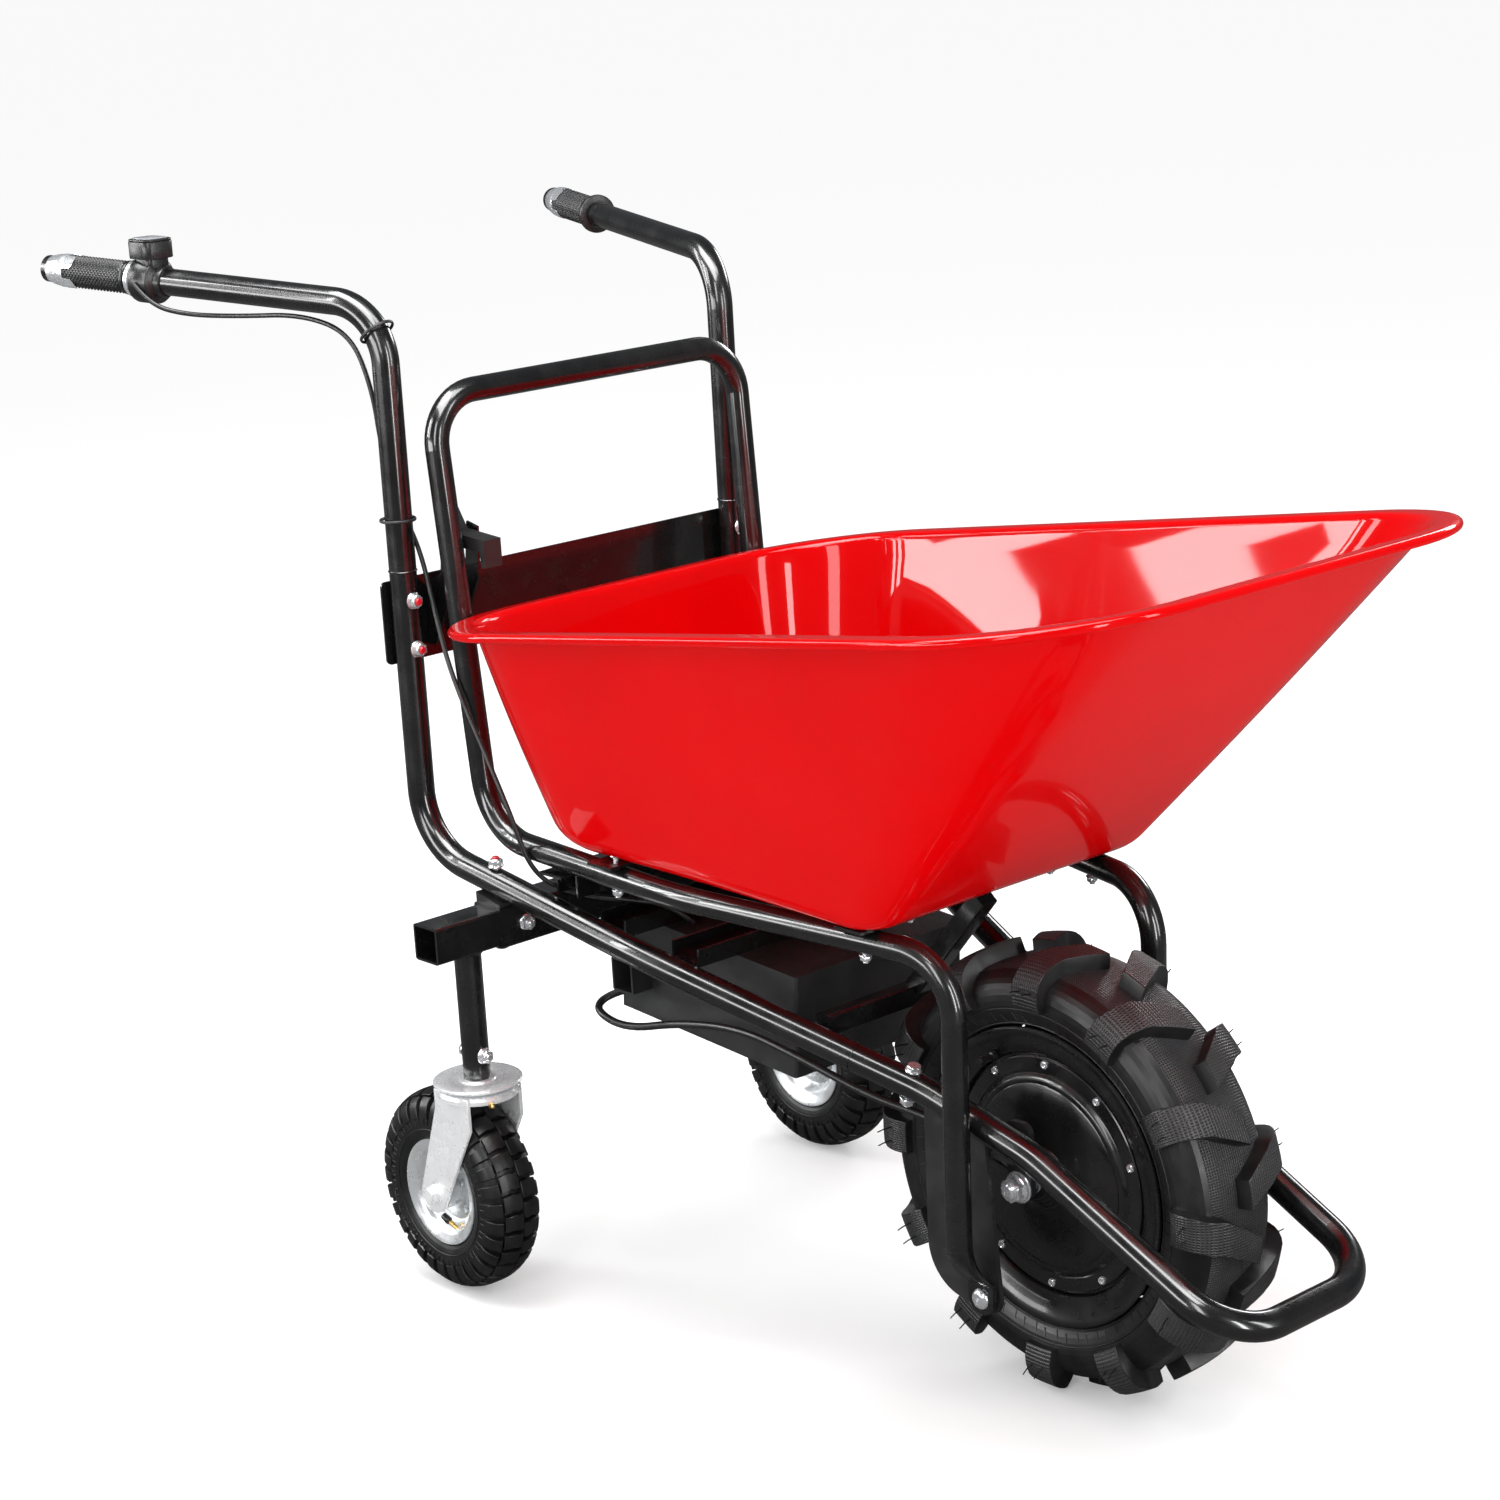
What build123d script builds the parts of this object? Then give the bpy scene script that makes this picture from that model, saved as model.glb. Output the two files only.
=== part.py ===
"""Three-wheeled power wheelbarrow: a steel tube chassis with a hub-motor drive wheel in front,
two swivel casters behind, and a pressed tray on its own frame that tips over the drive wheel.

Millimetres. +X is forward, +Y is the driver's left, +Z is up. The origin is on the ground, under
the middle of the whole machine. Stations along X are given from the drive axle, as axle_x + s.
"""
import os
from math import atan2, degrees, pi, radians, tan

from build123d import *

os.makedirs("parts", exist_ok=True)

# ---------------------------------------------------------------- driving dimensions
axle_x = 419.95                   # drive axle, ahead of the origin
wheel_radius = 220.0              # 4.00-10 lug tyre
tyre_half_width = 57.0
flange_radius = 146.0             # rim flange
cover_radius = 112.0              # hub motor side cover
caster_radius = 108.0             # 2.50-4 caster tyre
caster_trail = 45.0
frame_od = 28.0                   # chassis tube
frame_wall = 2.0
tray_od = 25.0                    # tray frame tube
tray_wall = 1.8
sheet = 2.5                       # pressed brackets
gap = 0.4                         # between parts that move past each other
side = {"right": -1, "left": 1}

# ---------------------------------------------------------------- chassis stations
upright_x = axle_x - 696
upright_y = 222.0
joint_z = 748.0                   # where a handlebar plugs into its upright
low_bend = (axle_x - 696, 222, 458)
mid_bend = (axle_x - 380, 190, 390)
toe_bend = (axle_x - 85, 108, 302)
drop_bend = (axle_x + 42, 103, 268)
bumper_corner = (axle_x + 273, 98, 154)
loop_split = 0.745                # where the front loop takes over, from mid_bend to toe_bend
elbow = (upright_x + 1, 222, 1015)
grip_end = (axle_x - 1122, 342, 1046)

# ---------------------------------------------------------------- tray frame stations
pivot = (axle_x - 20, 114.0)      # x and z of the tipping axis
leg_y = 136.0
rail_y = 194.0
rail_front = (axle_x - 17, leg_y, 453)
rail_waist = (axle_x - 330, rail_y, 466)
hoop_foot = (axle_x - 620, rail_y, 478)
hoop_top = (axle_x - 654, 201, 925)
ear_y = 112.0

# ---------------------------------------------------------------- caster stations
bar_x = axle_x - 592
bar_z = 393.0
bar_size = 38.0
sleeve_size = 43.0
sleeve_half = 227.0
bar_half = 306.0
post_y = 256.0
post_od = 28.0
disc_top = 238.0                  # top of the caster's fixed plate


# ---------------------------------------------------------------- helpers
def mirrored(point, s):
    """The same point on side s, +1 left and -1 right."""
    return (point[0], s * point[1], point[2])


def swept_tube(points, radii, outer, wall):
    """A round tube along straight runs joined by tangent arcs."""
    with BuildPart() as made:
        with BuildLine() as route:
            FilletPolyline(*points, radius=radii)
        with BuildSketch(Plane(origin=route.line @ 0, z_dir=route.line % 0)):
            Circle(outer / 2)
            Circle(outer / 2 - wall, mode=Mode.SUBTRACT)
        sweep()
    return made.part


def swept_cord(points, diameter):
    """A solid cable along its route, each arc as large as its two runs allow."""
    corners = [Vector(*p) for p in points]
    radii = []
    for before, here, after in zip(corners, corners[1:], corners[2:]):
        run = min((here - before).length, (after - here).length)
        turn = (here - before).get_angle(after - here)
        radii.append(round(0.45 * run / tan(radians(turn) / 2), 2))
    print("cord radii", radii)
    with BuildPart() as made:
        with BuildLine() as route:
            FilletPolyline(*points, radius=radii)
        with BuildSketch(Plane(origin=route.line @ 0, z_dir=route.line % 0)):
            Circle(diameter / 2)
        sweep()
    print("cord volume over section", round(made.part.volume / (pi * diameter**2 / 4)))
    return made.part


def drilled(body, sites, diameter, length=120.0):
    """The body with a straight hole through it at each site, along the site's z axis."""
    with BuildPart() as made:
        add(body)
        for site in sites:
            with BuildSketch(site.offset(-length / 2)):
                Circle(diameter / 2)
            extrude(amount=length, mode=Mode.SUBTRACT)
    return made.part


def bolts(sites, grips, size, nut=True):
    """Hex bolts and their nuts, as two groups. A site lies at the middle of its bolt's grip."""
    flats = 1.625 * size
    with BuildPart() as heads:
        for site, grip in zip(sites, grips):
            with BuildSketch(site.offset(grip / 2)):
                RegularPolygon(flats / 2, 6, major_radius=False)
            extrude(amount=0.66 * size)
            with BuildSketch(site.offset(grip / 2)):
                Circle(size / 2)
            extrude(amount=-(grip + 1.25 * size))
    with BuildPart() as nuts:
        for site, grip in zip(sites, grips):
            with BuildSketch(site.offset(-grip / 2)):
                Circle(0.95 * size)
                Circle(0.51 * size, mode=Mode.SUBTRACT)
            extrude(amount=-0.18 * size)
            with BuildSketch(site.offset(-grip / 2 - 0.18 * size)):
                RegularPolygon(flats / 2, 6, major_radius=False)
                Circle(0.51 * size, mode=Mode.SUBTRACT)
            extrude(amount=-0.82 * size)
    return heads.part, nuts.part


def save(part, label):
    part.label = label
    export_step(part, f"parts/{label}.step")


def along(a, b, t):
    """The point a share t of the way from a to b."""
    return tuple(p + (q - p) * t for p, q in zip(a, b))


def facing(origin, direction):
    """A plane at origin whose z axis points along direction."""
    return Plane(origin=origin, z_dir=direction)


# ================================================================ chassis tubes
run_drop = (toe_bend[2] - mid_bend[2]) / (toe_bend[0] - mid_bend[0])
rear_drop = (mid_bend[2] - low_bend[2]) / (mid_bend[0] - low_bend[0])
saddle_share = (bar_x - low_bend[0]) / (mid_bend[0] - low_bend[0])
saddle_point = along(low_bend, mid_bend, saddle_share)
saddle_top = saddle_point[2] + frame_od / 2 + 2.2
saddle_grip = saddle_top - (bar_z - sleeve_size / 2)
loop_sites = []
handle_sites = []
saddle_sites = []
for s in side.values():
    loop_sites.append(facing(mirrored(along(mid_bend, toe_bend, 0.94), s), (-run_drop, 0, 1)))
    for z in (718, 668):
        handle_sites.append(facing((upright_x - sheet / 2 - 0.5, s * upright_y, z), (-1, 0, 0)))
    saddle_sites.append(facing((bar_x, s * saddle_point[1], saddle_top - saddle_grip / 2), (0, 0, -1)))

for name, s in side.items():
    run = [(upright_x, upright_y, joint_z), low_bend, mid_bend, along(mid_bend, toe_bend, loop_split)]
    tube = swept_tube([mirrored(p, s) for p in run], [75, 500], frame_od, frame_wall)
    tube = drilled(tube, [p for p in handle_sites if p.origin.Y * s > 0], 8.4)
    tube = drilled(tube, [p for p in saddle_sites if p.origin.Y * s > 0], 8.4)
    save(tube, f"frame_tube_{name}")

loop = [along(mid_bend, toe_bend, loop_split + 0.003), toe_bend, drop_bend, bumper_corner]
loop_points = [mirrored(p, 1) for p in loop] + [mirrored(p, -1) for p in reversed(loop)]
bumper_loop = swept_tube(loop_points, [150, 150, 60, 60, 150, 150], frame_od, frame_wall)
bumper_loop = drilled(bumper_loop, loop_sites, 8.4)
save(bumper_loop, "bumper_loop")

spigot_od = frame_od - 2 * frame_wall - 0.4
with BuildPart() as frame_spigots:
    for s in side.values():
        start = mirrored(along(mid_bend, toe_bend, 0.50), s)
        end = mirrored(along(mid_bend, toe_bend, 0.965), s)
        with BuildSketch(facing(start, Vector(*end) - Vector(*start))):
            Circle(spigot_od / 2)
            Circle(spigot_od / 2 - 2.5, mode=Mode.SUBTRACT)
        extrude(amount=(Vector(*end) - Vector(*start)).length)
save(drilled(frame_spigots.part, loop_sites, 8.4), "frame_spigots")

# ================================================================ handlebars
for name, s in side.items():
    run = [(upright_x, upright_y, joint_z + 0.3), elbow, grip_end]
    bar = swept_tube([mirrored(p, s) for p in run], [62], frame_od, frame_wall)
    with BuildPart() as handlebar:
        add(bar)
        # the plug that goes down into the upright, held by a collar inside the bar
        with BuildSketch(Plane(origin=(upright_x, s * upright_y, joint_z + 1))):
            Circle(frame_od / 2 - frame_wall / 2)
            Circle(spigot_od / 2 - 2, mode=Mode.SUBTRACT)
        extrude(amount=6)
        with BuildSketch(Plane(origin=(upright_x, s * upright_y, joint_z - 100))):
            Circle(spigot_od / 2)
            Circle(spigot_od / 2 - 2, mode=Mode.SUBTRACT)
        extrude(amount=104)
    part = drilled(handlebar.part, [p for p in handle_sites if p.origin.Y * s > 0], 8.4)
    save(part, f"handlebar_{name}")

handle_axis = (Vector(*grip_end) - Vector(*elbow)).normalized()


def on_handle(distance, s):
    """A plane on the handle's centre line, a distance back from its end, facing the end."""
    axis = Vector(handle_axis.X, s * handle_axis.Y, handle_axis.Z)
    start = Vector(*mirrored(grip_end, s)) - axis * distance
    return Plane(origin=start, z_dir=axis, x_dir=(0, s * axis.Z, -s * axis.Y))


def sleeve_on_handle(start, length, outer, s, inner=frame_od / 2 + 0.2):
    with BuildPart() as made:
        with BuildSketch(on_handle(start, s)):
            Circle(outer)
            Circle(inner, mode=Mode.SUBTRACT)
        extrude(amount=length)
    return made.part


grip_start = 122.0
with BuildPart() as bar_ends:
    for s in side.values():
        with BuildSketch(on_handle(-1, s)):
            Circle(frame_od / 2)
        extrude(amount=4)
        with BuildSketch(on_handle(20, s)):
            Circle(frame_od / 2 - frame_wall - 0.2)
        extrude(amount=22)
save(bar_ends.part, "bar_ends")
grip_outer = 17.5
save(sleeve_on_handle(grip_start, grip_start - 1.5, grip_outer, 1), "grip_left")
save(sleeve_on_handle(grip_start + 8, 7, 22, 1), "grip_collar_left")
save(sleeve_on_handle(grip_start, grip_start - 1.5, grip_outer, -1, frame_od / 2 + 0.05), "throttle_grip")

with BuildPart() as throttle_housing:
    with BuildSketch(on_handle(grip_start + 44, -1)):
        Circle(24)
        Circle(frame_od / 2 + 0.1, mode=Mode.SUBTRACT)
    extrude(amount=43.5)
    with BuildSketch(on_handle(grip_start + 6, -1)):
        Circle(grip_outer + 0.6)
    extrude(amount=10, mode=Mode.SUBTRACT)
    with BuildSketch(on_handle(grip_start + 6, -1)):
        Circle(frame_od / 2 + 0.1)
    extrude(amount=-40, mode=Mode.SUBTRACT)
save(throttle_housing.part, "throttle_housing")

# battery gauge on top of the throttle housing
gauge_center = on_handle(grip_start + 24, -1).origin
with BuildPart() as battery_gauge:
    with BuildSketch(Plane(origin=(gauge_center.X, gauge_center.Y, gauge_center.Z + 26.4))):
        RectangleRounded(42, 36, 11)
    extrude(amount=17)
    fillet(battery_gauge.faces().sort_by(Axis.Z)[-1].edges(), 2)
save(battery_gauge.part, "battery_gauge")
with BuildPart() as gauge_window:
    with BuildSketch(Plane(origin=(gauge_center.X, gauge_center.Y, gauge_center.Z + 43.5))):
        RectangleRounded(34, 28, 8)
    extrude(amount=1)
save(gauge_window.part, "gauge_window")

# ================================================================ back panel and tray latch
panel_x = upright_x - frame_od / 2 - sheet - 0.5
with BuildPart() as back_panel:
    with BuildSketch(Plane(origin=(panel_x, 0, 693), x_dir=(0, 1, 0), z_dir=(1, 0, 0))):
        RectangleRounded(2 * upright_y + 36, 86, 6)
        with Locations(*[(s * upright_y, z - 693) for s in side.values() for z in (718, 668)]):
            Circle(4.2, mode=Mode.SUBTRACT)
    extrude(amount=sheet)
save(back_panel.part, "back_panel")

latch_y = -170.0
latch_x = panel_x + sheet
latch_hinge = (axle_x - 664, 776.0)
with BuildPart() as latch_bracket:
    with BuildSketch(Plane(origin=(latch_x, latch_y, 693), x_dir=(0, 1, 0), z_dir=(1, 0, 0))):
        Rectangle(34, 60)
    extrude(amount=sheet)
    for edge in (-17, 17 - sheet):
        with BuildSketch(Plane(origin=(0, latch_y + edge + sheet, 0), x_dir=(1, 0, 0), z_dir=(0, -1, 0))):
            with BuildLine():
                Polyline((latch_x, 663), (latch_x + 12, 663), (latch_x + 52, 735), (latch_x + 56, 786),
                         (latch_x + 38, 790), (latch_x + 30, 740), (latch_x, 723), close=True)
            make_face()
            with Locations(latch_hinge):
                Circle(3.1, mode=Mode.SUBTRACT)
        extrude(amount=sheet)
save(latch_bracket.part, "latch_bracket")

with BuildPart() as latch_pin:
    with BuildSketch(Plane(origin=(latch_hinge[0], latch_y - 20, latch_hinge[1]), z_dir=(0, 1, 0))):
        Circle(3)
    extrude(amount=40)
save(latch_pin.part, "latch_pin")

with BuildPart() as latch_hook:
    with BuildSketch(Plane(origin=(0, latch_y + 11, 0), x_dir=(1, 0, 0), z_dir=(0, -1, 0))):
        with BuildLine():
            Polyline((latch_hinge[0] - 8, 770), (latch_hinge[0] + 44, 768), (latch_hinge[0] + 46, 752),
                     (latch_hinge[0] + 52, 752), (latch_hinge[0] + 52, 780), (latch_hinge[0] - 2, 784),
                     (latch_hinge[0] - 20, 812), (latch_hinge[0] - 26, 808), close=True)
        make_face()
        with Locations(latch_hinge):
            Circle(3.05, mode=Mode.SUBTRACT)
    extrude(amount=22)
save(latch_hook.part, "latch_hook")


# ================================================================ caster crossbar
def square_tube(plane, size, wall, length):
    with BuildPart() as made:
        with BuildSketch(plane):
            RectangleRounded(size, size, 3)
            RectangleRounded(size - 2 * wall, size - 2 * wall, 1.2, mode=Mode.SUBTRACT)
        extrude(amount=length)
    return made.part


arm_bolt_sites = [facing((bar_x, s * 195, bar_z), (-1, 0, 0)) for s in side.values()]
sleeve_plane = Plane(origin=(bar_x, -sleeve_half, bar_z), z_dir=(0, 1, 0), x_dir=(1, 0, 0))
sleeve_bar = square_tube(sleeve_plane, sleeve_size, 2.3, 2 * sleeve_half)
sleeve_bar = drilled(sleeve_bar, arm_bolt_sites + saddle_sites, 8.4)
save(sleeve_bar, "crossbar_sleeve")

pin_sites = [facing((bar_x, s * post_y, disc_top + 26), (-1, 0, 0)) for s in side.values()]
with BuildPart() as arms:
    for s in side.values():
        add(square_tube(Plane(origin=(bar_x, s * bar_half, bar_z), z_dir=(0, -s, 0), x_dir=(1, 0, 0)),
                        bar_size, 2.5, bar_half - 150))
        with BuildSketch(Plane(origin=(bar_x, s * post_y, disc_top + 0.3))):
            Circle(post_od / 2)
            Circle(post_od / 2 - 2.5, mode=Mode.SUBTRACT)
        extrude(amount=bar_z - bar_size / 2 - disc_top)
caster_arms = drilled(arms.part, arm_bolt_sites + saddle_sites, 8.4)
save(drilled(caster_arms, pin_sites, 8.4, 60), "caster_arms")

# wedges that seat the sloping chassis tubes on the level crossbar
saddle_base = bar_z + sleeve_size / 2 + 0.1
saddle_seat = saddle_point[2] - frame_od / 2 - 0.5
with BuildPart() as saddles:
    for s in side.values():
        with BuildSketch(Plane(origin=(0, s * saddle_point[1] + 14, 0), x_dir=(1, 0, 0), z_dir=(0, -1, 0))):
            with BuildLine():
                Polyline((bar_x - 19, saddle_base), (bar_x + 19, saddle_base),
                         (bar_x + 19, saddle_seat + 19 * rear_drop),
                         (bar_x - 19, saddle_seat - 19 * rear_drop), close=True)
            make_face()
        extrude(amount=28)
save(drilled(saddles.part, saddle_sites, 8.4), "saddle_blocks")

# ================================================================ drive wheel fork plates
with BuildPart() as pivot_plates:
    for s in side.values():
        with BuildSketch(Plane(origin=(0, s * 104 + 2, 0), x_dir=(1, 0, 0), z_dir=(0, -1, 0))):
            with BuildLine():
                Polyline((axle_x - 94, 288), (axle_x - 16, 268), (axle_x - 2, 114))
                RadiusArc((axle_x - 2, 114), (axle_x - 26, 97), 18)
                Polyline((axle_x - 26, 97), (axle_x - 60, 104))
                RadiusArc((axle_x - 60, 104), (axle_x - 96, 150), 48)
                Line((axle_x - 96, 150), (axle_x - 94, 288))
            make_face()
            with Locations(pivot):
                Circle(5.1, mode=Mode.SUBTRACT)
        extrude(amount=4)
save(pivot_plates.part, "pivot_plates")

with BuildPart() as dropouts:
    for s in side.values():
        with BuildSketch(Plane(origin=(0, s * 75 + 3, 0), x_dir=(1, 0, 0), z_dir=(0, -1, 0))):
            with Locations((axle_x, 246)):
                RectangleRounded(30, 76, 10)
            with Locations((axle_x, wheel_radius)):
                Circle(8.1, mode=Mode.SUBTRACT)
        extrude(amount=6)
        with BuildSketch(Plane(origin=(axle_x, s * 86, 252))):
            Rectangle(30, 28)
        extrude(amount=5)
save(dropouts.part, "axle_dropouts")

# ================================================================ battery box, hung under the rails
box_tilt = 4.0
box_length = 264.0
box_width = 228.0
box_height = 104.0
box_frame = Plane(origin=(axle_x - 394, 0, 283)).rotated((0, box_tilt, 0))
with BuildPart() as battery_box:
    with BuildSketch(box_frame):
        RectangleRounded(box_length, box_width, 4)
    extrude(amount=box_height)
    with BuildSketch(box_frame.offset(2)):
        RectangleRounded(box_length - 4, box_width - 4, 2)
    extrude(amount=box_height, mode=Mode.SUBTRACT)
save(battery_box.part, "battery_box")

with BuildPart() as box_lid:
    with BuildSketch(box_frame.offset(box_height + 0.2)):
        RectangleRounded(box_length + 4, box_width + 4, 3)
    extrude(amount=2)
    with BuildSketch(box_frame.offset(box_height + 0.2)):
        RectangleRounded(box_length + 4, box_width + 4, 3)
        RectangleRounded(box_length + 0.6, box_width + 0.6, 2, mode=Mode.SUBTRACT)
    extrude(amount=-12)
save(box_lid.part, "box_lid")

pack_plane = box_frame.offset(2.2)
with BuildPart() as battery_pack:
    with BuildSketch(pack_plane):
        with Locations((-38, 0)):
            RectangleRounded(178, 214, 6)
    extrude(amount=88)
save(battery_pack.part, "battery_pack")
with BuildPart() as controller:
    with BuildSketch(pack_plane):
        with Locations((92, 0)):
            RectangleRounded(68, 140, 4)
    extrude(amount=42)
save(controller.part, "motor_controller")

# cross channels between the chassis tubes, with the box lid screwed up to them
channel_top = box_height + 2.4
with BuildPart() as box_channels:
    for shift in (-80, 30):
        with BuildSketch(box_frame.offset(channel_top)):
            with Locations((shift, 0)):
                Rectangle(40, 2 * 166)
        extrude(amount=3)
        with BuildSketch(box_frame.offset(channel_top)):
            with Locations((shift - 18.5, 0), (shift + 18.5, 0)):
                Rectangle(3, 2 * 166)
        extrude(amount=18)
save(box_channels.part, "box_channels")

with BuildPart() as box_sockets:
    for s in side.values():
        socket = Plane(origin=(axle_x - 486, s * (box_width / 2 + 3), 339), z_dir=(0, s, 0), x_dir=(1, 0, 0))
        with BuildSketch(socket):
            RectangleRounded(32, 36, 3)
            RectangleRounded(27, 31, 1.5, mode=Mode.SUBTRACT)
        extrude(amount=26)
save(box_sockets.part, "box_sockets")

# bar that the tray rails rest on
rest_x = axle_x - 505
rest_top = 460.0 - gap
with BuildPart() as rail_rest:
    with BuildSketch(Plane(origin=(rest_x, 0, rest_top - 3))):
        Rectangle(34, 2 * 210)
    extrude(amount=3)
    with BuildSketch(Plane(origin=(rest_x, 0, rest_top - 27))):
        with Locations((-15.5, 0), (15.5, 0)):
            Rectangle(3, 2 * 190)
    extrude(amount=27)
save(rail_rest.part, "rail_rest")

# prop under the tray's front strap, on a bar across the chassis behind the drive wheel
prop_size = 20.0
prop_foot = Vector(axle_x - 205, 0, 350)
prop_head = Vector(axle_x - 108, 0, 462)
prop_reach = prop_head - prop_foot
with BuildPart() as tray_prop:
    with BuildSketch(Plane(origin=(axle_x - 207, -124, 345), z_dir=(0, 1, 0), x_dir=(1, 0, 0))):
        RectangleRounded(prop_size, prop_size, 2)
    extrude(amount=248)
    with BuildSketch(Plane(origin=prop_foot, z_dir=prop_reach, x_dir=(0, 1, 0))):
        RectangleRounded(prop_size, prop_size, 2)
    extrude(amount=prop_reach.length)
save(tray_prop.part, "tray_prop")

chassis_sites = [
    (handle_sites, frame_od + sheet + 1), (loop_sites, frame_od + 1), (arm_bolt_sites, sleeve_size),
    (saddle_sites, saddle_grip), (pin_sites, post_od + 0.6)]
every_site = [site for sites, grip in chassis_sites for site in sites]
every_grip = [grip for sites, grip in chassis_sites for site in sites]
chassis_bolts, chassis_nuts = bolts(every_site, every_grip, 8)
save(chassis_bolts, "chassis_bolts")
save(chassis_nuts, "chassis_nuts")

# ================================================================ axle, hub motor and drive wheel
axle_plane = Plane(origin=(axle_x, 0, wheel_radius), x_dir=(1, 0, 0), z_dir=(0, -1, 0))


def ring_profile(points):
    """A solid of revolution about the drive axle from (radius, y) points."""
    with BuildPart() as made:
        with BuildSketch(Plane(origin=(axle_x, 0, wheel_radius), x_dir=(1, 0, 0), z_dir=(0, 0, 1))):
            with BuildLine():
                Polyline(*points, close=True)
            make_face()
        revolve(axis=Axis((axle_x, 0, wheel_radius), (0, 1, 0)))
    return made.part


with BuildPart() as axle:
    with BuildSketch(axle_plane.offset(-96)):
        Circle(8)
    extrude(amount=192)
    with BuildSketch(axle_plane.offset(-64)):
        Circle(11)
    extrude(amount=128)
save(axle.part, "axle")

with BuildPart() as axle_nuts:
    for s in side.values():
        nut_plane = Plane(origin=(axle_x, s * 78.1, wheel_radius), z_dir=(0, s, 0))
        with BuildSketch(nut_plane):
            Circle(15)
            Circle(8.05, mode=Mode.SUBTRACT)
        extrude(amount=2.5)
        with BuildSketch(nut_plane.offset(2.5)):
            RegularPolygon(12, 6, major_radius=False)
            Circle(8.05, mode=Mode.SUBTRACT)
        extrude(amount=12)
save(axle_nuts.part, "axle_nuts")

save(ring_profile([(11.05, -24), (80, -24), (98, -14), (98, 14), (80, 24), (11.05, 24)]), "motor_stator")

with BuildPart() as bearings:
    for s in side.values():
        with BuildSketch(Plane(origin=(axle_x, s * 30, wheel_radius), z_dir=(0, s, 0))):
            Circle(21)
            Circle(11.05, mode=Mode.SUBTRACT)
        extrude(amount=8)
save(bearings.part, "motor_bearings")

hub_shell = ring_profile([
    (104, -34), (118, -34), (118, -40), (128, -44), (flange_radius - 3, -49), (flange_radius, -47),
    (flange_radius, -45), (131, -40), (127, -30), (122, -26), (122, 26), (127, 30), (131, 40),
    (flange_radius, 45), (flange_radius, 47), (flange_radius - 3, 49), (128, 44), (118, 40), (118, 34),
    (104, 34), (104, 26), (110, 20), (110, -20), (104, -26)])
save(hub_shell, "hub_rim")

save(ring_profile([(101, -18), (109.8, -18), (109.8, 18), (101, 18)]), "magnet_ring")

screw_count = 10
screw_radius = 109.0
covers = []
for s in side.values():
    covers.append(ring_profile([
        (21.05, s * 28), (60, s * 30), (98, s * 34.1), (cover_radius, s * 34.1), (cover_radius + 3, s * 36),
        (cover_radius + 3, s * 39), (97, s * 39), (92, s * 43), (60, s * 46), (28, s * 47),
        (28, s * 53), (20, s * 54), (20, s * 60), (11.6, s * 61), (11.6, s * 38.5), (21.05, s * 38.5)]))
with BuildPart() as hub_covers:
    add(covers)
    for s in side.values():
        with BuildSketch(Plane(origin=(axle_x, s * 30, wheel_radius), z_dir=(0, s, 0))):
            with PolarLocations(screw_radius, screw_count):
                Circle(2.6)
        extrude(amount=20, mode=Mode.SUBTRACT)
save(hub_covers.part, "hub_covers")

with BuildPart() as cover_screws:
    for s in side.values():
        screw_plane = Plane(origin=(axle_x, s * 39.1, wheel_radius), z_dir=(0, s, 0))
        with BuildSketch(screw_plane):
            with PolarLocations(screw_radius, screw_count):
                Circle(4)
        extrude(amount=2.4)
        with BuildSketch(screw_plane):
            with PolarLocations(screw_radius, screw_count):
                Circle(2.4)
        extrude(amount=-4.9)
save(cover_screws.part, "cover_screws")

tyre = ring_profile([
    (128.4, -32), (131.6, -38.8), (146.4, -44.4), (156, -54), (176, -tyre_half_width),
    (196, -tyre_half_width), (206, -53), (214, -44), (wheel_radius, -26), (wheel_radius, 26), (214, 44),
    (206, 53), (196, tyre_half_width), (176, tyre_half_width), (156, 54), (146.4, 44.4), (131.6, 38.8),
    (128.4, 32), (146, 37), (170, 48), (192, 47), (204, 34), (207, 0), (204, -34), (192, -47), (170, -48),
    (146, -37)])
save(tyre, "drive_tyre")

with BuildPart() as drive_valve:
    valve_radius = 121.0
    valve_plane = Plane(origin=(axle_x - valve_radius * 0.5, -43.6, wheel_radius + valve_radius * 0.866),
                        z_dir=(0, -1, 0))
    with BuildSketch(valve_plane):
        Circle(4)
    extrude(amount=14)
    with BuildSketch(valve_plane.offset(14)):
        Circle(4.6)
    extrude(amount=7)
save(drive_valve.part, "drive_valve")

# ================================================================ casters
fork_gap = 62.0
fork_thickness = 4.0
crown_z = disc_top - 14


def caster_ring(s, points):
    """A solid of revolution about a caster's axle from (radius, y) points."""
    center = (bar_x - caster_trail, s * post_y, caster_radius)
    with BuildPart() as made:
        with BuildSketch(Plane(origin=center, x_dir=(1, 0, 0), z_dir=(0, 0, 1))):
            with BuildLine():
                Polyline(*points, close=True)
            make_face()
        revolve(axis=Axis(center, (0, 1, 0)))
    return made.part


with BuildPart() as plates:
    for s in side.values():
        top = Plane(origin=(bar_x, s * post_y, disc_top))
        with BuildSketch(top):
            Circle(46)
        extrude(amount=-3)
        with BuildSketch(top.offset(-3)):
            Circle(38)
        extrude(amount=-4.4)
        with BuildSketch(top):
            Circle(11.2)
        extrude(amount=62)
save(drilled(plates.part, pin_sites, 8.4, 40), "swivel_plates")

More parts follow.
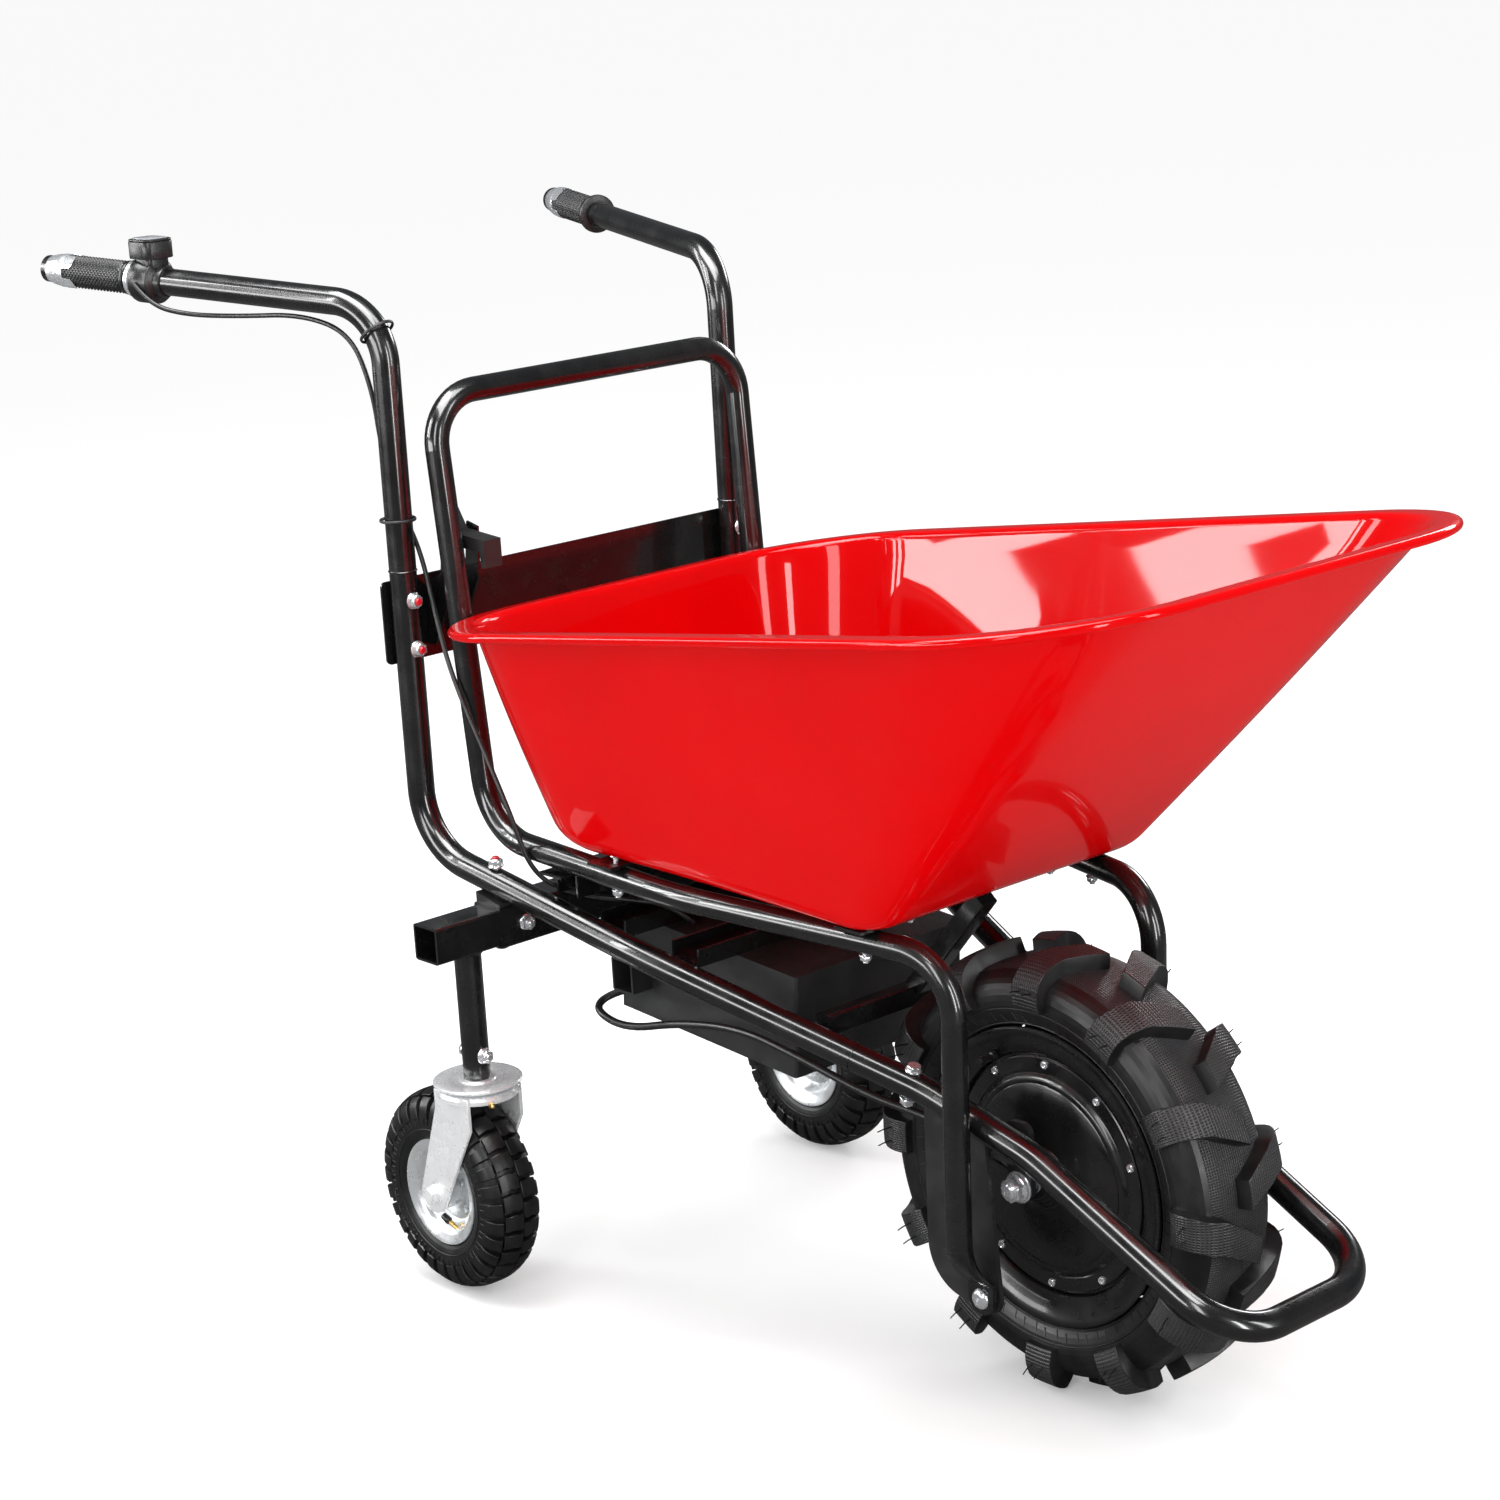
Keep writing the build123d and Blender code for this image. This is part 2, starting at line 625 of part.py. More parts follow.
for name, s in side.items():
    with BuildPart() as caster_fork:
        with BuildSketch(Plane(origin=(bar_x, s * post_y, crown_z))):
            Circle(42)
        extrude(amount=5.8)
        for edge in (-1, 1):
            inner = s * post_y + edge * fork_gap / 2
            with BuildSketch(Plane(origin=(0, inner + (fork_thickness if edge > 0 else 0), 0),
                                   x_dir=(1, 0, 0), z_dir=(0, -1, 0))):
                with BuildLine():
                    Line((bar_x + 27, crown_z + 5), (bar_x - 27, crown_z + 5))
                    Line((bar_x - 27, crown_z + 5), (bar_x - caster_trail - 21, caster_radius + 8))
                    RadiusArc((bar_x - caster_trail - 21, caster_radius + 8),
                              (bar_x - caster_trail + 19, caster_radius - 11), -25)
                    Line((bar_x - caster_trail + 19, caster_radius - 11), (bar_x + 27, crown_z - 32))
                    Line((bar_x + 27, crown_z - 32), (bar_x + 27, crown_z + 5))
                make_face()
                with Locations((bar_x - caster_trail, caster_radius)):
                    Circle(5.2, mode=Mode.SUBTRACT)
            extrude(amount=fork_thickness)
    save(caster_fork.part, f"caster_fork_{name}")

    axle_site = facing((bar_x - caster_trail, s * post_y, caster_radius), (0, s, 0))
    caster_bolt, caster_nut = bolts([axle_site], [fork_gap + 2 * fork_thickness + 0.4], 10)
    save(Compound(children=[*caster_bolt.solids(), *caster_nut.solids()]), f"caster_axle_{name}")

    save(caster_ring(s, [
        (5.08, -29), (14, -29), (14, -10), (36, -8), (40, -20), (52, -25), (56, -27), (56, -24), (52, -20),
        (47, -12), (47, 12), (52, 20), (56, 24), (56, 27), (52, 25), (40, 20), (36, 8), (14, 10), (14, 29),
        (5.08, 29)]), f"caster_rim_{name}")
    save(caster_ring(s, [
        (53, -19), (57, -23.5), (57, -28), (66, -31), (84, -31), (96, -27), (104, -20), (caster_radius, -8),
        (caster_radius, 8), (104, 20), (96, 27), (84, 31), (66, 31), (57, 28), (57, 23.5), (53, 19),
        (62, 22), (84, 25), (94, 18), (98, 0), (94, -18), (84, -25), (62, -22)]), f"caster_tyre_{name}")

# ================================================================ tray frame
frame_run = [(pivot[0] - 4, leg_y, 168), rail_front, rail_waist, hoop_foot, hoop_top]
frame_points = [mirrored(p, 1) for p in frame_run] + [mirrored(p, -1) for p in reversed(frame_run)]
hoop_radii = [58, 400, 66, 52, 52, 66, 400, 58]
tray_loop = swept_tube(frame_points, hoop_radii, tray_od, tray_wall)
strap_sites = []
strap_x = [axle_x - 420, axle_x - 112]
for x in strap_x:
    t = (hoop_foot[0] - x) / (hoop_foot[0] - rail_front[0])
    z = hoop_foot[2] + (rail_front[2] - hoop_foot[2]) * t
    y = rail_y - 1 if x < rail_waist[0] else rail_y + (leg_y - rail_y) * (x - rail_waist[0]) / (
        rail_front[0] - rail_waist[0])
    for s in side.values():
        strap_sites.append(facing((x, s * y, z), (0, 0, 1)))
with BuildPart() as tray_frame:
    add(tray_loop)
    for s in side.values():
        # the leg's lower end, pressed flat and drawn in to the pivot
        with BuildSketch(Plane(origin=(pivot[0] - 4, s * leg_y, 171))):
            Circle(tray_od / 2 + 0.2)
        with BuildSketch(Plane(origin=(pivot[0] - 3, s * (leg_y - 6), 150))):
            RectangleRounded(28, 12, 4)
        with BuildSketch(Plane(origin=(pivot[0], s * ear_y, 128))):
            Rectangle(32, 5)
        loft()
        with BuildSketch(Plane(origin=(0, s * ear_y + 2.5, 0), x_dir=(1, 0, 0), z_dir=(0, -1, 0))):
            with Locations((pivot[0], pivot[1] + 7)):
                Rectangle(32, 16)
            with Locations(pivot):
                Circle(16)
        extrude(amount=5)
    with BuildSketch(Plane(origin=(pivot[0], -200, pivot[1]), z_dir=(0, 1, 0))):
        Circle(5.1)
    extrude(amount=400, mode=Mode.SUBTRACT)
save(drilled(tray_frame.part, strap_sites, 6.4, 40), "tray_frame")

with BuildPart() as tray_straps:
    for x, (right, left) in zip(strap_x, (strap_sites[:2], strap_sites[2:])):
        with BuildSketch(Plane(origin=(x, 0, right.origin.Z + tray_od / 2 + 0.9))):
            Rectangle(36, 2 * left.origin.Y + 44)
        extrude(amount=3)

with BuildPart() as pivot_bolts:
    for s in side.values():
        pin_plane = Plane(origin=(pivot[0], s * (ear_y + 2.6), pivot[1]), z_dir=(0, -s, 0))
        with BuildSketch(pin_plane):
            Circle(5.05)
        extrude(amount=24)
        with BuildSketch(pin_plane):
            Circle(10)
        extrude(amount=-5)
        with BuildSketch(pin_plane.offset(13.4)):
            RegularPolygon(8.5, 6, major_radius=False)
        extrude(amount=8)
save(pivot_bolts.part, "pivot_bolts")

# ================================================================ tray
floor_rear = axle_x - 545
floor_front = axle_x - 76
floor_z = {"rear": 492.9, "front": 473.4}
rim_rear = axle_x - 603
rim_front = axle_x + 263
rim_z = {"rear": 707.2, "front": 821.6}
floor_shape = {"halves": (212, 182), "radii": (90, 30)}      # each rear, then front
rim_shape = {"halves": (268, 302), "radii": (135, 146)}
flange_width = 27.0
curl_depth = 8.0
tray_sheet = 2.0


def tilted(x0, z0, x1, z1):
    """A plane through two stations, tilted along X, whose origin is half way."""
    slope = degrees(atan2(z1 - z0, x1 - x0))
    return Plane(origin=((x0 + x1) / 2, 0, (z0 + z1) / 2)).rotated((0, -slope, 0))


def span(x0, z0, x1, z1):
    return ((x1 - x0) ** 2 + (z1 - z0) ** 2) ** 0.5


def rounded_plan(length, shape, grow=0.0):
    """A four-sided outline with rounded corners, made larger by grow all round."""
    rear, front = [half + grow for half in shape["halves"]]
    end = length / 2 + grow
    with BuildSketch(mode=Mode.PRIVATE) as plan:
        with BuildLine():
            Polyline((-end, -rear), (end, -front), (end, front), (-end, rear), close=True)
        make_face()
        fillet(plan.vertices().group_by(Axis.X)[0], shape["radii"][0] + grow)
        fillet(plan.vertices().group_by(Axis.X)[-1], shape["radii"][1] + grow)
    return plan.sketch


floor_plane = tilted(floor_rear, floor_z["rear"], floor_front, floor_z["front"])
rim_plane = tilted(rim_rear, rim_z["rear"], rim_front, rim_z["front"])
floor_length = span(floor_rear, floor_z["rear"], floor_front, floor_z["front"])
rim_length = span(rim_rear, rim_z["rear"], rim_front, rim_z["front"])


def tray_body(grow, lift, over):
    """The tray's volume, grown by grow and its floor lifted; over carries it past the rim."""
    with BuildPart() as made:
        with BuildSketch(floor_plane.offset(lift)):
            add(rounded_plan(floor_length, floor_shape, grow))
        with BuildSketch(rim_plane.offset(over)):
            add(rounded_plan(rim_length, rim_shape, grow))
        loft()
    return made.part


with BuildPart() as tray:
    add(tray_body(0, 0, 0))
    # the flange round the rim, and its edge curled down
    with BuildSketch(rim_plane.offset(-1)):
        add(rounded_plan(rim_length, rim_shape, flange_width))
    extrude(amount=tray_sheet)
    with BuildSketch(rim_plane.offset(-curl_depth)):
        add(rounded_plan(rim_length, rim_shape, flange_width))
        add(rounded_plan(rim_length, rim_shape, flange_width - curl_depth), mode=Mode.SUBTRACT)
    extrude(amount=curl_depth)
    add(tray_body(-tray_sheet, tray_sheet, 0.01), mode=Mode.SUBTRACT)
    with BuildSketch(rim_plane.offset(-0.3)):
        add(rounded_plan(rim_length, rim_shape, -tray_sheet))
    extrude(amount=3, mode=Mode.SUBTRACT)

floor_bolt_sites = []
for x in strap_x:
    z = floor_z["rear"] + (floor_z["front"] - floor_z["rear"]) * (x - floor_rear) / (floor_front - floor_rear)
    for y in (-95, 95):
        floor_bolt_sites.append(facing((x, y, z - 2), (0, 0, 1)))
save(drilled(tray_straps.part, strap_sites + floor_bolt_sites, 6.4, 60), "tray_straps")
save(drilled(tray.part, floor_bolt_sites + strap_sites, 6.4, 60), "tray")
rail_ties = [facing(site.origin + Vector(0, 0, 3.6), (0, 0, 1)) for site in strap_sites]
tray_bolts, tray_nuts = bolts(rail_ties + floor_bolt_sites, [tray_od + 9] * 4 + [9.6] * 4, 6)
save(tray_bolts, "tray_bolts")
save(tray_nuts, "tray_nuts")

# ================================================================ cables
throttle_route = [
    (axle_x - 968, -302, 1008), (axle_x - 940, -290, 992), (axle_x - 880, -266, 990),
    (axle_x - 800, -245, 998), (axle_x - 735, -232, 985), (axle_x - 716, -226, 930),
    (axle_x - 715, -222, 870), (axle_x - 712, -208, 810), (axle_x - 690, -202, 765),
    (axle_x - 668, -207, 705), (axle_x - 640, -213, 645), (axle_x - 590, -217, 575),
    (axle_x - 552, -218, 515), (axle_x - 540, -206, 452), (axle_x - 524, -170, 426),
    (axle_x - 475, -142, 422), (axle_x - 432, -118, 420), (axle_x - 422, -98, 397)]
save(swept_cord(throttle_route, 5), "throttle_cable")

motor_route = [
    (axle_x - 512, -119, 312), (axle_x - 526, -136, 307), (axle_x - 520, -154, 297),
    (axle_x - 466, -158, 291), (axle_x - 392, -150, 312), (axle_x - 310, -140, 322),
    (axle_x - 235, -130, 306), (axle_x - 160, -112, 280), (axle_x - 100, -92, 268),
    (axle_x - 52, -84, 252), (axle_x - 30, -68, 234), (axle_x - 12, -66, 226)]
save(swept_cord(motor_route, 8), "motor_cable")
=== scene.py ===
"""Looks for the power wheelbarrow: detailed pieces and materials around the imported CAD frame.

Metres, in the CAD's frame: +X forward, +Y the driver's left, +Z up. Stations along X are given in
millimetres from the drive axle, as at(s, y, z), the way the CAD model gives them. The profiles of
turned parts are (radius, height) points in millimetres.
"""

from math import cos, pi, radians, sin, tan

import bmesh
import bpy
import numpy as np
from mathutils import Matrix, Vector


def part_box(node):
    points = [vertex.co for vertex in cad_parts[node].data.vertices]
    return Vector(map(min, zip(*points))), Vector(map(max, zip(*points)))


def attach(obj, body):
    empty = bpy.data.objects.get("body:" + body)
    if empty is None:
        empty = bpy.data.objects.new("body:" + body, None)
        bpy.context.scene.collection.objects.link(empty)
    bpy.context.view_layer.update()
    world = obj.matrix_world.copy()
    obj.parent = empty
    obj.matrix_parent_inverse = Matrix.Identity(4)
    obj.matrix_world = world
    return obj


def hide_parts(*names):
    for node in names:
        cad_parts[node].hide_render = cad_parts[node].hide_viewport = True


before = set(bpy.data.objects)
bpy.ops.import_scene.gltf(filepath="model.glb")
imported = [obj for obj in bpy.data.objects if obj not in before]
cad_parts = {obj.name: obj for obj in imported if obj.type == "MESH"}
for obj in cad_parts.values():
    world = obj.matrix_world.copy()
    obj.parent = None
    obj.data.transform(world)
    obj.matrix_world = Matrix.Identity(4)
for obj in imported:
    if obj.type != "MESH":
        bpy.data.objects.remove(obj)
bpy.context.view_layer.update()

MM = 0.001
SIDES = {"right": -1, "left": 1}
axle_low, axle_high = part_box("axle")
AXLE_X = (axle_low.x + axle_high.x) / 2
AXLE_Z = (axle_low.z + axle_high.z) / 2


def at(s, y, z):
    """A point from its station s along X from the drive axle, y and z, in millimetres."""
    return Vector((AXLE_X + s * MM, y * MM, z * MM))


def place_in_scene(name, data):
    made = bpy.data.objects.new(name, data)
    bpy.context.scene.collection.objects.link(made)
    return made


# ================================================================ node materials
class Nodes:
    """A small helper around one material's node tree, with its Principled shader ready."""

    def __init__(self, name):
        self.material = bpy.data.materials.new(name)
        self.material.use_nodes = True
        self.tree = self.material.node_tree
        self.shader = self.tree.nodes["Principled BSDF"]
        self.place = self.tree.nodes.new("ShaderNodeTexCoord")

    def set(self, **values):
        """Set shader inputs; a space in an input's name is written as an underscore."""
        for name, value in values.items():
            self.shader.inputs[name.replace("_", " ")].default_value = value
        return self

    def node(self, kind, **values):
        """A new node with its inputs set, named the same way."""
        node = self.tree.nodes.new(kind)
        for name, value in values.items():
            node.inputs[name.replace("_", " ")].default_value = value
        return node

    def link(self, source, target):
        self.tree.links.new(source, target)

    def scaled(self, scale, coordinate="Object"):
        mapping = self.node("ShaderNodeMapping", Scale=scale)
        self.link(self.place.outputs[coordinate], mapping.inputs["Vector"])
        return mapping.outputs["Vector"]

    def noise(self, scale, detail, roughness=0.55, vector=None):
        node = self.node("ShaderNodeTexNoise", Scale=scale, Detail=detail, Roughness=roughness)
        self.link(vector or self.place.outputs["Object"], node.inputs["Vector"])
        return node.outputs["Fac"]

    def wave(self, scale, vector, direction):
        node = self.node("ShaderNodeTexWave", Scale=scale)
        node.bands_direction = direction
        self.link(vector, node.inputs["Vector"])
        return node.outputs["Fac"]

    def range(self, value, low=0.0, high=1.0, start=0.3, end=0.7):
        """Map a value that runs from start to end onto low to high."""
        node = self.node("ShaderNodeMapRange", From_Min=start, From_Max=end, To_Min=low, To_Max=high)
        self.link(value, node.inputs["Value"])
        return node.outputs["Result"]

    def larger(self, a, b):
        node = self.node("ShaderNodeMath")
        node.operation = "MAXIMUM"
        self.link(a, node.inputs[0])
        self.link(b, node.inputs[1])
        return node.outputs["Value"]

    def blend(self, factor, a, b):
        node = self.node("ShaderNodeMix")
        node.data_type = "RGBA"
        self.link(factor, node.inputs["Factor"])
        for socket, value in ((node.inputs["A"], a), (node.inputs["B"], b)):
            if isinstance(value, tuple):
                socket.default_value = (*value, 1)
            else:
                self.link(value, socket)
        return node.outputs["Result"]

    def bump(self, height, strength, distance):
        """Add a bump on top of the ones the shader already has."""
        node = self.node("ShaderNodeBump", Strength=strength, Distance=distance)
        self.link(height, node.inputs["Height"])
        normal = self.shader.inputs["Normal"]
        if normal.is_linked:
            self.link(normal.links[0].from_socket, node.inputs["Normal"])
        self.link(node.outputs["Normal"], normal)

    def color(self, value):
        self.link(value, self.shader.inputs["Base Color"])

    def rough(self, value):
        self.link(value, self.shader.inputs["Roughness"])

    def patches(self, color, other, texture, start=0.3, end=0.7, most=1.0):
        """Base colour that drifts towards another one where the texture runs high."""
        self.color(self.blend(self.range(texture, 0.0, most, start, end), color, other))


def scaled_color(color, factor, lift=0.0):
    return tuple(c * factor + lift for c in color)


def powder_coat(name, color, rough, dust, coat):
    """Sprayed enamel: orange peel in the gloss, a breath of dust, and rubbed patches."""
    m = Nodes(name).set(Coat_Weight=coat, Coat_Roughness=0.08)
    m.patches(color, dust, m.noise(9, 6), 0.45, 0.75)
    m.rough(m.range(m.noise(35, 5), rough * 0.75, rough * 1.5))
    orange_peel = m.noise(420, 2)
    m.bump(orange_peel, 0.035, 0.0004)
    grain = m.noise(2600, 1)
    m.bump(grain, 0.02, 0.0001)
    return m.material


def bare_metal(name, color, stain, rough, scale=60, metallic=1.0):
    """Plated or turned metal with blotches in the plating and fine handling marks.

    Satin zinc scatters part of its light, so its shader is only partly metallic.
    """
    m = Nodes(name).set(Metallic=metallic)
    m.patches(color, stain, m.noise(scale, 6, 0.62), 0.42, 0.72, 0.6)
    m.rough(m.range(m.noise(scale * 1.7, 5), rough * 0.75, rough * 1.3))
    scratches = m.noise(1.0, 3, 0.6, m.scaled((300, 2400, 900)))
    m.bump(scratches, 0.12, 0.0002)
    return m.material


def rubber(name, color, rough, grain=0.25):
    """Moulded black rubber with a bloom and a fine grain."""
    m = Nodes(name).set(Specular_IOR_Level=0.42)
    m.patches(color, scaled_color(color, 2.1, 0.004), m.noise(22, 7, 0.62), 0.42, 0.72)
    m.rough(m.range(m.noise(70, 4), rough * 0.85, rough * 1.2))
    m.bump(m.noise(900, 3), grain, 0.0003)
    return m.material


def mesh_rubber_painted_light(name, color, pitch):
    """Tread rubber moulded with a fine square mesh, laid out in the tyre's own arc and width; its raised
    lines are painted lighter as painted highlights and its hollows darker as painted shade.
    """
    one_band = 0.318                     # wave scale that gives one band for each unit
    m = Nodes(name).set(Specular_IOR_Level=0.5)
    laid = m.scaled((1 / pitch, 1 / pitch, 1), "UV")
    net = m.larger(m.wave(one_band, laid, "X"), m.wave(one_band, laid, "Y"))
    bloom = m.range(m.noise(24, 6), start=0.4)
    base = m.blend(bloom, color, scaled_color(color, 1.8))
    # painted light: the raised mesh lines take the lighter colour as painted highlights, and the hollows
    # between them a darker one as painted shade
    m.patches(scaled_color(color, 0.12), base, net, 0.35, 0.8)
    m.rough(m.range(net, 0.55, 0.30))
    m.bump(net, 0.9, 0.0007)
    return m.material


def tray_enamel(deep, bright):
    """Red gloss enamel with a slow drift of colour and gentle waves in its gloss."""
    m = Nodes("tray_enamel").set(Coat_Weight=0.5, Coat_Roughness=0.03, Specular_IOR_Level=0.02)
    m.patches(deep, bright, m.noise(3.5, 4))
    m.rough(m.range(m.noise(30, 5), 0.14, 0.24))
    waves = m.noise(14, 2)
    m.bump(waves, 0.06, 0.004)
    grain = m.noise(500, 2)
    m.bump(grain, 0.05, 0.0003)
    return m.material


def moulded(name, color, rough, grain=0.2):
    """Moulded plastic with a faint bloom."""
    m = Nodes(name)
    m.patches(color, scaled_color(color, 1.5, 0.003), m.noise(40, 5))
    m.rough(m.range(m.noise(120, 3), rough * 0.8, rough * 1.2))
    m.bump(m.noise(1500, 2), grain, 0.0002)
    return m.material


def turned_aluminium(dull, bright):
    """Turned bar stock: fine rings around the part, laid along its V coordinate."""
    m = Nodes("turned_aluminium").set(Metallic=0.75)
    rings = m.noise(1.0, 3, 0.6, m.scaled((2, 4000, 1), "UV"))
    m.color(m.blend(m.noise(50, 4), dull, bright))
    m.rough(m.range(rings, 0.18, 0.34))
    m.bump(rings, 0.12, 0.0002)
    return m.material


MATERIAL = {
    "frame_paint": powder_coat("frame_enamel", (0.0042, 0.0042, 0.0045), 0.22, (0.008, 0.008, 0.008), 0.8),
    "plate_paint": powder_coat("plate_enamel", (0.012, 0.012, 0.0125), 0.36, (0.02, 0.02, 0.02), 0.1),
    "box_paint": powder_coat("box_enamel", (0.014, 0.014, 0.0145), 0.40, (0.022, 0.022, 0.0225), 0.05),
    "hub_paint": powder_coat("hub_enamel", (0.005, 0.005, 0.0053), 0.26, (0.009, 0.009, 0.009), 0.4),
    "tray_paint": tray_enamel((0.50, 0.0002, 0.0008), (0.56, 0.0003, 0.0012)),
    "zinc": bare_metal("bright_zinc", (0.80, 0.81, 0.83), (0.55, 0.57, 0.60), 0.22, 140, 0.8),
    "caster_zinc": bare_metal("caster_zinc_plate", (0.88, 0.89, 0.90), (0.76, 0.78, 0.80), 0.27, 34, 0.5),
    "caster_paint": bare_metal("rim_zinc_plate", (0.68, 0.70, 0.71), (0.54, 0.57, 0.60), 0.30, 26, 0.7),
    "brass": bare_metal("brass", (0.72, 0.47, 0.16), (0.52, 0.32, 0.09), 0.28, 120),
    "drive_rubber": rubber("tyre_wall_rubber", (0.0052, 0.0052, 0.0056), 0.33),
    # the tread's grey, far lighter than the sidewall rubber, is a painted highlight on its mesh lines
    "tread": mesh_rubber_painted_light("tread_rubber", (0.024, 0.024, 0.025), 2.7 * MM),
    "caster_rubber": rubber("caster_tyre_rubber", (0.0048, 0.0048, 0.005), 0.33),
    "grip_rubber": rubber("grip_rubber", (0.010, 0.010, 0.011), 0.28, 0.1),
    "end_cap": turned_aluminium((0.62, 0.64, 0.67), (0.82, 0.84, 0.86)),
    "black_plastic": moulded("black_plastic", (0.009, 0.009, 0.0095), 0.30),
    "gauge_plastic": moulded("gauge_window", (0.30, 0.31, 0.33), 0.12, 0.05),
    "cable_jacket": moulded("cable_jacket", (0.008, 0.008, 0.0085), 0.32),
    "tie": moulded("tie_nylon", (0.007, 0.007, 0.0075), 0.45),
    "cell_wrap": moulded("cell_wrap", (0.03, 0.09, 0.26), 0.35),
    "controller_case": bare_metal("controller_case", (0.6, 0.61, 0.63), (0.45, 0.46, 0.48), 0.4),
    "core": bare_metal("laminated_core", (0.30, 0.27, 0.24), (0.2, 0.17, 0.14), 0.5),
    "red_tips": moulded("red_thread_tips", (0.45, 0.005, 0.012), 0.3),
}


# ================================================================ mesh helpers
class Shape:
    """Vertices, faces and texture coordinates gathered before they become one piece."""

    def __init__(self):
        self.points = []
        self.faces = []
        self.marks = []
        self.uv = []

    def add(self, points, faces, mark=0, uv=None):
        """Add faces; their mark picks one of the piece's materials."""
        start = len(self.points)
        self.points += [Vector(p) for p in points]
        self.faces += [tuple(start + i for i in face) for face in faces]
        self.marks += [mark] * len(faces)
        self.uv += uv or [(0.0, 0.0)] * len(points)
        return self

    def turned(self, profile, centre, axis, segments, side=1, unit=MM, mark=0):
        """Add a turned part from its profile of (radius, height) points; side -1 mirrors its heights."""
        metres = [(radius * unit, side * height * unit) for radius, height in profile]
        points, faces, uv = lathe(metres, centre, axis, segments)
        return self.add(points, faces, mark, uv)

    def piece(self, name, materials, body, slot, replaces=(), crease=32, bevel=0.0):
        mesh = bpy.data.meshes.new(name)
        mesh.from_pydata(self.points, [], self.faces)
        mesh.validate()
        layer = mesh.uv_layers.new(name="UVMap")
        for loop in mesh.loops:
            layer.data[loop.index].uv = self.uv[loop.vertex_index]
        names = [materials] if isinstance(materials, str) else materials
        for material in names:
            mesh.materials.append(MATERIAL[material])
        for polygon, mark in zip(mesh.polygons, self.marks):
            polygon.material_index = mark
        mesh.shade_smooth()
        mesh.set_sharp_from_angle(angle=radians(crease))
        made = place_in_scene(name, mesh)
        if bevel:
            add_bevel(made, bevel)
        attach(made, body)
        if replaces:
            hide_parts(*replaces)
        return made


def add_bevel(made, width):
    bevel = made.modifiers.new("edges", "BEVEL")
    bevel.width = width
    bevel.segments = 2
    bevel.limit_method = "ANGLE"
    bevel.angle_limit = radians(32)
    bevel.harden_normals = False


def basis(axis):
    """Two unit vectors square to an axis."""
    axis = Vector(axis).normalized()
    guide = Vector((0, 0, 1)) if abs(axis.z) < 0.9 else Vector((1, 0, 0))
    first = guide.cross(axis).normalized()
    return first, axis.cross(first).normalized()


def strip_faces(rows, width):
    """Faces of an open grid of points, row by row."""
    return [(j * width + i, j * width + i + 1, (j + 1) * width + i + 1, (j + 1) * width + i)
            for j in range(rows - 1) for i in range(width - 1)]


def ring_faces(rings, around):
    """Faces between closed rings, each with the same number of points."""
    faces = []
    for i in range(rings - 1):
        for j in range(around):
            k = (j + 1) % around
            faces.append((i * around + j, i * around + k, (i + 1) * around + k, (i + 1) * around + j))
    return faces


def end_faces(rings, around):
    """The two faces that close a stack of rings."""
    last = (rings - 1) * around
    return [tuple(range(around - 1, -1, -1)), tuple(last + j for j in range(around))]


def lathe(profile, centre, axis, segments):
    """A surface of revolution from (radius, distance along the axis) points, in metres."""
    first, second = basis(axis)
    axis = Vector(axis).normalized()
    points = []
    uv = []
    for j in range(segments + 1):
        turn = 2 * pi * j / segments
        spoke = first * cos(turn) + second * sin(turn)
        for radius, along in profile:
            points.append(Vector(centre) + spoke * radius + axis * along)
            uv.append((turn / (2 * pi), along))
    rows = len(profile)
    faces = []
    for j in range(segments):
        for i in range(rows - 1):
            faces.append((j * rows + i, (j + 1) * rows + i, (j + 1) * rows + i + 1, j * rows + i + 1))
    return points, faces, uv


def rounded_path(points, radii, step=radians(6)):
    """Points along straight runs joined by tangent arcs."""
    path = [Vector(points[0])]
    for before, here, after, radius in zip(points, points[1:], points[2:], radii):
        back = (Vector(before) - Vector(here)).normalized()
        on = (Vector(after) - Vector(here)).normalized()
        turn = pi - back.angle(on)
        reach = radius * tan(turn / 2)
        centre = Vector(here) + (back + on).normalized() * (radius / cos(turn / 2))
        start = Vector(here) + back * reach - centre
        normal = start.cross(on).normalized()
        steps = max(4, int(turn / step))
        for i in range(steps + 1):
            path.append(centre + Matrix.Rotation(turn * i / steps, 3, normal) @ start)
    path.append(Vector(points[-1]))
    return path


def sweep(path, outline, cap=True):
    """A tube along a path; outline(t, angle) gives its radius at a share t of the path."""
    sides = 28
    lengths = [0.0]
    for a, b in zip(path, path[1:]):
        lengths.append(lengths[-1] + (b - a).length)
    heading = (path[1] - path[0]).normalized()
    first, second = basis(heading)
    points = []
    for i, here in enumerate(path):
        ahead = path[min(i + 1, len(path) - 1)] - path[max(i - 1, 0)]
        turn = heading.rotation_difference(ahead.normalized())
        first.rotate(turn)
        second.rotate(turn)
        heading = ahead.normalized()
        for j in range(sides):
            angle = 2 * pi * j / sides
            radius = outline(lengths[i] / lengths[-1], angle)
            points.append(here + (first * cos(angle) + second * sin(angle)) * radius)
    faces = ring_faces(len(path), sides)
    if cap:
        faces += end_faces(len(path), sides)
    return points, faces


def prism(outline, origin, across, up, depth):
    """An extruded outline of (across, up) points in metres, depth along across x up."""
    across, up = Vector(across), Vector(up)
    out = across.cross(up).normalized()
    base = [Vector(origin) + across * a + up * b for a, b in outline]
    points = base + [p + out * depth for p in base]
    return points, end_faces(2, len(outline)) + ring_faces(2, len(outline))


